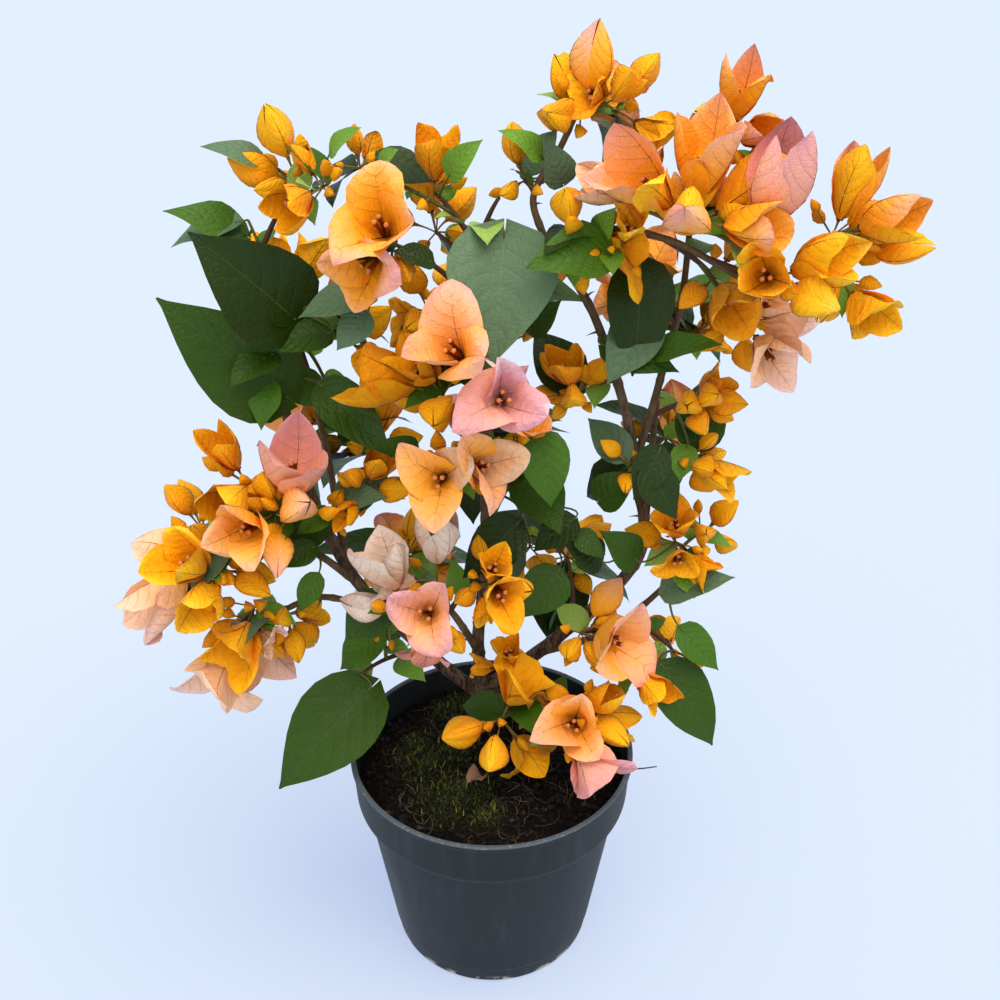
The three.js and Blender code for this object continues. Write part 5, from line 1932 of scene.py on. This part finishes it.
    def build(self) -> None:
        """Grow everything and finish each kind as one piece."""
        self.grow()
        for number, plan in enumerate(ACCENTS):
            self.accent(plan, number)
        for patchwork in (self.bracts, self.leaves, self.bract_veins, self.leaf_veins, self.tubes, self.twigs):
            patchwork.finish(MASS_NAMES)


# ---------------------------------------------------------------- pot and soil


def rounded(stops: list[tuple[float, float, float]], steps: int = 5) -> np.ndarray:
    """Round the corners of an open profile.

    A corner with a rounding is replaced by the quadratic curve between the points that far before and after it.

    Args:
        stops: Radius, height and rounding of each corner, in millimetres.
        steps: Points a rounded corner.

    Returns:
        The profile, n by 2, in metres.
    """
    corners = np.array([stop[:2] for stop in stops], float)
    parts = [corners[:1]]
    for before, corner, after, (_, _, room) in zip(corners, corners[1:], corners[2:], stops[1:-1]):
        if not room:
            parts.append(corner[None])
            continue
        start = corner + unit(before - corner) * min(room, np.linalg.norm(before - corner) * 0.45)
        end = corner + unit(after - corner) * min(room, np.linalg.norm(after - corner) * 0.45)
        parts.append(bezier(start, corner, end, np.linspace(0, 1, steps)))
    parts.append(corners[-1:])
    return np.concatenate(parts) * MM


@dataclass
class NurseryPot:
    """The round pot: foot ring, tapered body, shoulder and banded rim, with its wall's inner side.

    Attributes:
        segments: Points around it.
        profile: Radius, height and rounding of each corner in millimetres, from the middle of the underside, up
            the outer side and down the inner side.
    """

    segments: int = 128
    profile: tuple[tuple[float, float, float], ...] = (
        (0, 2.2, 0), (50, 2.2, 0.5), (51.5, 0.4, 0.4), (52.5, 0, 0.4), (58.4, 0, 0.9), (60.5, 1.6, 0.9),
        (62.2, 12.2, 0.2), (62.65, 12.6, 0.2), (62.7, 13.2, 0.2), (76.2, 101.5, 3), (77.4, 104.4, 1.5),
        (81.2, 106.2, 2.0), (82.0, 109.0, 1.6), (83.2, 131.8, 1), (84.5, 133.1, 0.7), (84.5, 135.5, 0.6),
        (83.6, 136, 0.5), (81.4, 135.7, 0.6), (79.9, 109, 2), (74.5, 104, 2), (58.5, 3.8, 2), (0, 3.8, 0),
    )

    def build(self) -> None:
        """Turn the profile about the upright axis: x = r cos a, y = r sin a, with the two poles as single points."""
        profile = rounded(list(self.profile))
        angle = np.linspace(0, 2 * math.pi, self.segments, endpoint=False)
        ring = np.stack((np.cos(angle), np.sin(angle)), axis=-1)
        body = profile[1:-1]
        around = body[:, None, 0, None] * ring[None]
        height = np.broadcast_to(body[:, None, 1, None], (*around.shape[:2], 1))
        points = np.concatenate((around, height), axis=2).reshape(-1, 3)
        bottom, top = len(points), len(points) + 1
        points = np.concatenate((points, ((0, 0, profile[0, 1]), (0, 0, profile[-1, 1]))))
        step = np.arange(self.segments)
        after = (step + 1) % self.segments
        last = (len(body) - 1) * self.segments
        under = np.stack((np.full_like(step, bottom), after, step), axis=-1)
        floor = np.stack((np.full_like(step, top), last + step, last + after), axis=-1)
        piece = Patchwork("nursery_pot", "pot", [PlasticFinish().material()])
        piece.add(points, [grid_faces(len(body), self.segments, closed=True), under, floor])
        piece.finish(["pot"])


@dataclass
class PottingSoil:
    """Crumbly soil with moss, straw, a fallen bract and a stray twig.

    Attributes:
        edge_radius: Where it meets the wall.
        edge_height: Its height there.
        top: Its height over the plateau.
        plateau: The plateau's radius.
    """

    edge_radius: float = 0.0799
    edge_height: float = 0.116
    top: float = 0.124
    plateau: float = 0.05
    rings: int = 70
    segments: int = 160

    def height(self, x: np.ndarray, y: np.ndarray) -> np.ndarray:
        """Return the soil's height: a plateau that falls to the edge, with sums of crossed waves as lumps."""
        reach = np.hypot(x, y)
        fall = np.clip((reach - self.plateau) / (self.edge_radius - self.plateau), 0, 1)
        base = self.top + (self.edge_height - self.top) * fall
        lumps = 0.0016 * np.sin(92 * x + 1.3) * np.sin(81 * y + 0.4) + 0.0011 * np.sin(190 * x - 150 * y)
        lumps += 0.0009 * np.sin(330 * x + 210 * y + 2) + 0.0008 * np.sin(610 * x - 260 * y) * np.sin(540 * y)
        lumps += 0.0007 * np.sin(1250 * x + 900 * y) * np.sin(1100 * y - 700 * x + 1)
        return base + lumps * np.clip((self.edge_radius - reach) / 0.006, 0.15, 1)

    def moss(self, x: np.ndarray, y: np.ndarray) -> np.ndarray:
        """Return how mossy the soil is, 0 to 1, from soft round patches."""
        patches = ((-0.022, -0.03, 0.019), (-0.042, 0.004, 0.018), (-0.004, -0.046, 0.011), (-0.02, 0.01, 0.016))
        patches += ((0.04, 0.04, 0.018), (-0.02, 0.05, 0.016))
        cover = np.zeros_like(x)
        for px, py, size in patches:
            cover = np.maximum(cover, np.exp(-(((x - px) ** 2 + (y - py) ** 2) / size**2)))
        return np.clip(cover * 1.15 - 0.12, 0, 1)

    def build(self) -> None:
        """Build the soil body, its crumbs, moss, straw and litter."""
        bed = Patchwork("soil_bed", "soil", [EarthFinish().material()])
        angle = np.linspace(0, 2 * math.pi, self.segments, endpoint=False)
        reach = self.edge_radius * np.linspace(1, 0.012, self.rings)
        x, y = reach[:, None] * np.cos(angle), reach[:, None] * np.sin(angle)
        crown = np.stack((x, y, self.height(x, y)), axis=-1)
        skirt = np.array(((0.0580, 0.0042), (0.0740, 0.1042), (0.0796, 0.1095)))
        wall = np.stack(np.broadcast_arrays(
            skirt[:, 0, None] * np.cos(angle), skirt[:, 0, None] * np.sin(angle), skirt[:, 1, None]
        ), axis=-1)
        points = np.concatenate((wall, crown)).reshape(-1, 3)
        rows = self.rings + len(skirt)
        last = (rows - 1) * self.segments
        ends = np.stack((np.arange(self.segments)[::-1], last + np.arange(self.segments)))
        moss = self.moss(points[:, 0], points[:, 1])
        bed.add(points, [grid_faces(rows, self.segments, closed=True), ends], 0, moss=moss)
        bed.finish(["soil"])
        self.scatter()

    def scatter(self) -> None:
        """Scatter crumbs, moss tufts and straw over the soil."""
        crumbs = Patchwork("soil_crumbs", "soil", [
            StalkFinish("crumb_dark", "0D0A07", 0.9).material(),
            StalkFinish("crumb_brown", "1B120C", 0.9).material(),
            StalkFinish("crumb_pale", "33291F", 0.85).material(),
        ])
        count = 2400
        turn, share = 2 * math.pi * draws(count, 3, 1), np.sqrt(draws(count, 3, 2))
        x, y = 0.0775 * share * np.cos(turn), 0.0775 * share * np.sin(turn)
        size = 0.0005 + 0.0017 * draws(count, 3, 3) ** 3
        lon = np.linspace(0, 2 * math.pi, 6, endpoint=False)
        lat = np.array((-1.35, -0.5, 0.5, 1.35))
        ball = np.stack(np.broadcast_arrays(
            np.cos(lat)[:, None] * np.cos(lon), np.cos(lat)[:, None] * np.sin(lon), np.sin(lat)[:, None] * 0.6
        ), axis=-1).reshape(-1, 3)
        faces = [grid_faces(4, 6, closed=True), np.stack((np.arange(6)[::-1], 18 + np.arange(6)))]
        stretch = 0.35 + 1.1 * np.stack([draws(count * 24, 5, k).reshape(count, 24) for k in range(3)], axis=-1)
        places = np.stack((x, y, self.height(x, y) + size * 0.3), axis=-1)
        lumps = places[:, None] + ball[None] * size[:, None, None] * stretch
        offset = np.arange(count)[:, None, None] * 24
        groups = [(group[None] + offset).reshape(-1, group.shape[1]) for group in faces]
        dark = np.digitize(draws(count, 3, 4), (0.6, 0.94))
        tones = np.concatenate([np.repeat(dark, len(group)) for group in faces])
        crumbs.add(lumps, groups, tones)
        crumbs.finish([])
        self.moss_tufts()
        self.litter()

    def moss_tufts(self) -> None:
        """Stand short moss blades on the mossy patches: each a narrow strip of two faces that bends over."""
        tufts = Patchwork("moss", "soil", [
            StalkFinish("moss_dark", "252C0A", 0.9).material(),
            StalkFinish("moss_green", "475014", 0.9).material(),
            StalkFinish("moss_lime", "717428", 0.9).material(),
        ])
        count = 20000
        x, y = 0.155 * (draws(count, 7, 1) - 0.5), 0.155 * (draws(count, 7, 2) - 0.5)
        keep = (draws(count, 7, 3) < self.moss(x, y)) & (np.hypot(x, y) < 0.077)
        x, y = x[keep], y[keep]
        count = len(x)
        turn = 2 * math.pi * draws(count, 8, 1)
        lean = np.stack((np.cos(turn), np.sin(turn), np.zeros(count)), axis=-1)
        side = np.stack((-np.sin(turn), np.cos(turn), np.zeros(count)), axis=-1)
        tall = (0.0014 + 0.003 * draws(count, 8, 2))[:, None]
        foot = np.stack((x, y, self.height(x, y) - 0.0003), axis=-1)
        half = side * 0.00032
        middle = foot + UP * tall * 0.6 + lean * tall * 0.25
        tip = foot + UP * tall + lean * tall * 0.8
        points = np.stack((foot - half, foot + half, middle - half, middle + half, tip), axis=1)
        offset = np.arange(count)[:, None] * 5
        quads = offset + np.array((0, 1, 3, 2))
        points_of = offset + np.array((2, 3, 4))
        tone = np.digitize(draws(count, 8, 3), (0.5, 0.88))
        tufts.add(points, [quads, points_of], np.concatenate((tone, tone)))
        tufts.finish([])

    def litter(self) -> None:
        """Lay straw and root fibres, a fallen bract and one stray twig on the soil."""
        straw = Patchwork("soil_litter", "soil", [
            StalkFinish("straw_tan", "665534", 0.8).material(),
            StalkFinish("root_brown", "3F2A1C", 0.8).material(),
            BladeFinish("fallen_bract", "9A7459").material(),
        ])
        for k in range(170):
            turn, reach = 6.283 * draw(k, 1, 5), 0.072 * math.sqrt(draw(k, 2, 5))
            way, length = 6.283 * draw(k, 3, 5), mix(0.006, 0.02, draw(k, 4, 5))
            share = np.linspace(-0.5, 0.5, 7)
            bow = mix(-0.5, 0.5, draw(k, 5, 5)) * length * (1 - 4 * share**2)
            x = reach * math.cos(turn) + length * share * math.cos(way) - bow * math.sin(way)
            y = reach * math.sin(turn) + length * share * math.sin(way) + bow * math.cos(way)
            pull = np.minimum(1, 0.0775 / np.maximum(np.hypot(x, y), 1e-6))
            x, y = x * pull, y * pull
            path = np.stack((x, y, self.height(x, y) + 0.0004 + 0.0015 * draw(k, 6, 5) * (1 - 4 * share**2)), axis=-1)
            straw.add(*tube(path, np.full(7, mix(0.00012, 0.00028, draw(k, 7, 5))), 4), int(draw(k, 8, 5) > 0.45))
        fallen = LeafBlade(
            np.array((-0.013, -0.022, 0.1265)), unit(np.array((0.6, 0.5, 0.25))), UP, 0.016, 0.0055, 1.3, 0.6, 0.5
        )
        straw.add(sheet_grid(fallen, 9, 7)[0], [grid_faces(9, 7)], 2)
        stray = np.array(((0.05, -0.02, 0.126), (0.072, -0.024, 0.137), (0.088, -0.026, 0.1405), (0.096, -0.025, 0.141)))
        straw.add(*tube(smooth_line(stray, 8), np.linspace(0.0006, 0.00035, 25), 5), 1)
        straw.finish([])


# ---------------------------------------------------------------- studio


@dataclass
class Studio:
    """Camera, lights and the pale floor.

    Attributes:
        eye: Where the camera stands, in metres.
        pitch: How far it looks down, in degrees.
        lens: Its focal length over a 36 mm sensor, in millimetres.
    """

    eye: tuple[float, float, float] = (0.005, -0.557, 0.617)
    pitch: float = 29.3
    lens: float = 43.2

    def camera(self) -> None:
        """Stand the camera in front of the plant, above it and looking down."""
        data = bpy.data.cameras.new("camera")
        data.lens = self.lens
        data.sensor_width = 36.0
        data.clip_start = 0.01
        data.clip_end = 100.0
        camera = bpy.data.objects.new("camera", data)
        camera.location = self.eye
        camera.rotation_euler = (math.radians(90 - self.pitch), 0, 0)
        bpy.context.scene.collection.objects.link(camera)
        bpy.context.scene.camera = camera

    def sun(self, name: str, way: tuple[float, float, float], spread: float, strength: float, tint: str) -> None:
        """Hang a soft far light.

        Args:
            name: Its name.
            way: Where it stands, seen from the plant.
            spread: How wide it looks, in degrees.
            strength: Its strength.
            tint: Its web colour code.
        """
        data = bpy.data.lights.new(name, "SUN")
        data.angle = math.radians(spread)
        data.energy = strength
        data.color = linear(tint)
        lamp = bpy.data.objects.new(name, data)
        look = -unit(np.array(way))
        lamp.rotation_euler = (math.acos(-look[2]), 0, math.atan2(look[1], look[0]) - math.pi / 2)
        bpy.context.scene.collection.objects.link(lamp)

    def floor(self) -> None:
        """Lay the pale floor."""
        material, _, shader = new_material("pale_floor", 0.9, 0.03)
        shader.inputs["Base Color"].default_value = (*linear("858B7E"), 1.0)
        shader.inputs["Emission Color"].default_value = (*linear("C1D1FF"), 1.0)
        shader.inputs["Emission Strength"].default_value = 0.68
        mesh = bpy.data.meshes.new("floor")
        side = 14.0
        corners = [(-side, -side, 0), (side, -side, 0), (side, side, 0), (-side, side, 0)]
        mesh.from_pydata(corners, [], [(0, 1, 2, 3)])
        mesh.materials.append(material)
        floor = bpy.data.objects.new("floor", mesh)
        bpy.context.scene.collection.objects.link(floor)

    def build(self) -> None:
        """Set up camera, world, lights and floor."""
        self.camera()
        world = bpy.data.worlds.new("studio")
        world.use_nodes = True
        sky = world.node_tree.nodes["Background"]
        sky.inputs["Color"].default_value = (*linear("E4EEFC"), 1.0)
        sky.inputs["Strength"].default_value = 0.82
        bpy.context.scene.world = world
        bpy.context.scene.view_settings.view_transform = "Standard"
        self.sun("key", (0.22, -0.2, 1.0), 60.0, 3.2, "FFF7EA")
        self.sun("fill", (-0.5, -1.0, 0.5), 70.0, 0.75, "FBF6EE")
        self.floor()


def main() -> None:
    """Build studio, pot, soil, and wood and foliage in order."""
    logging.basicConfig(level=logging.INFO, format="%(message)s")
    Studio().build()
    NurseryPot().build()
    PottingSoil().build()
    wood = Framework()
    wood.build()
    Foliage(wood).build()


if __name__ == "__main__":
    main()
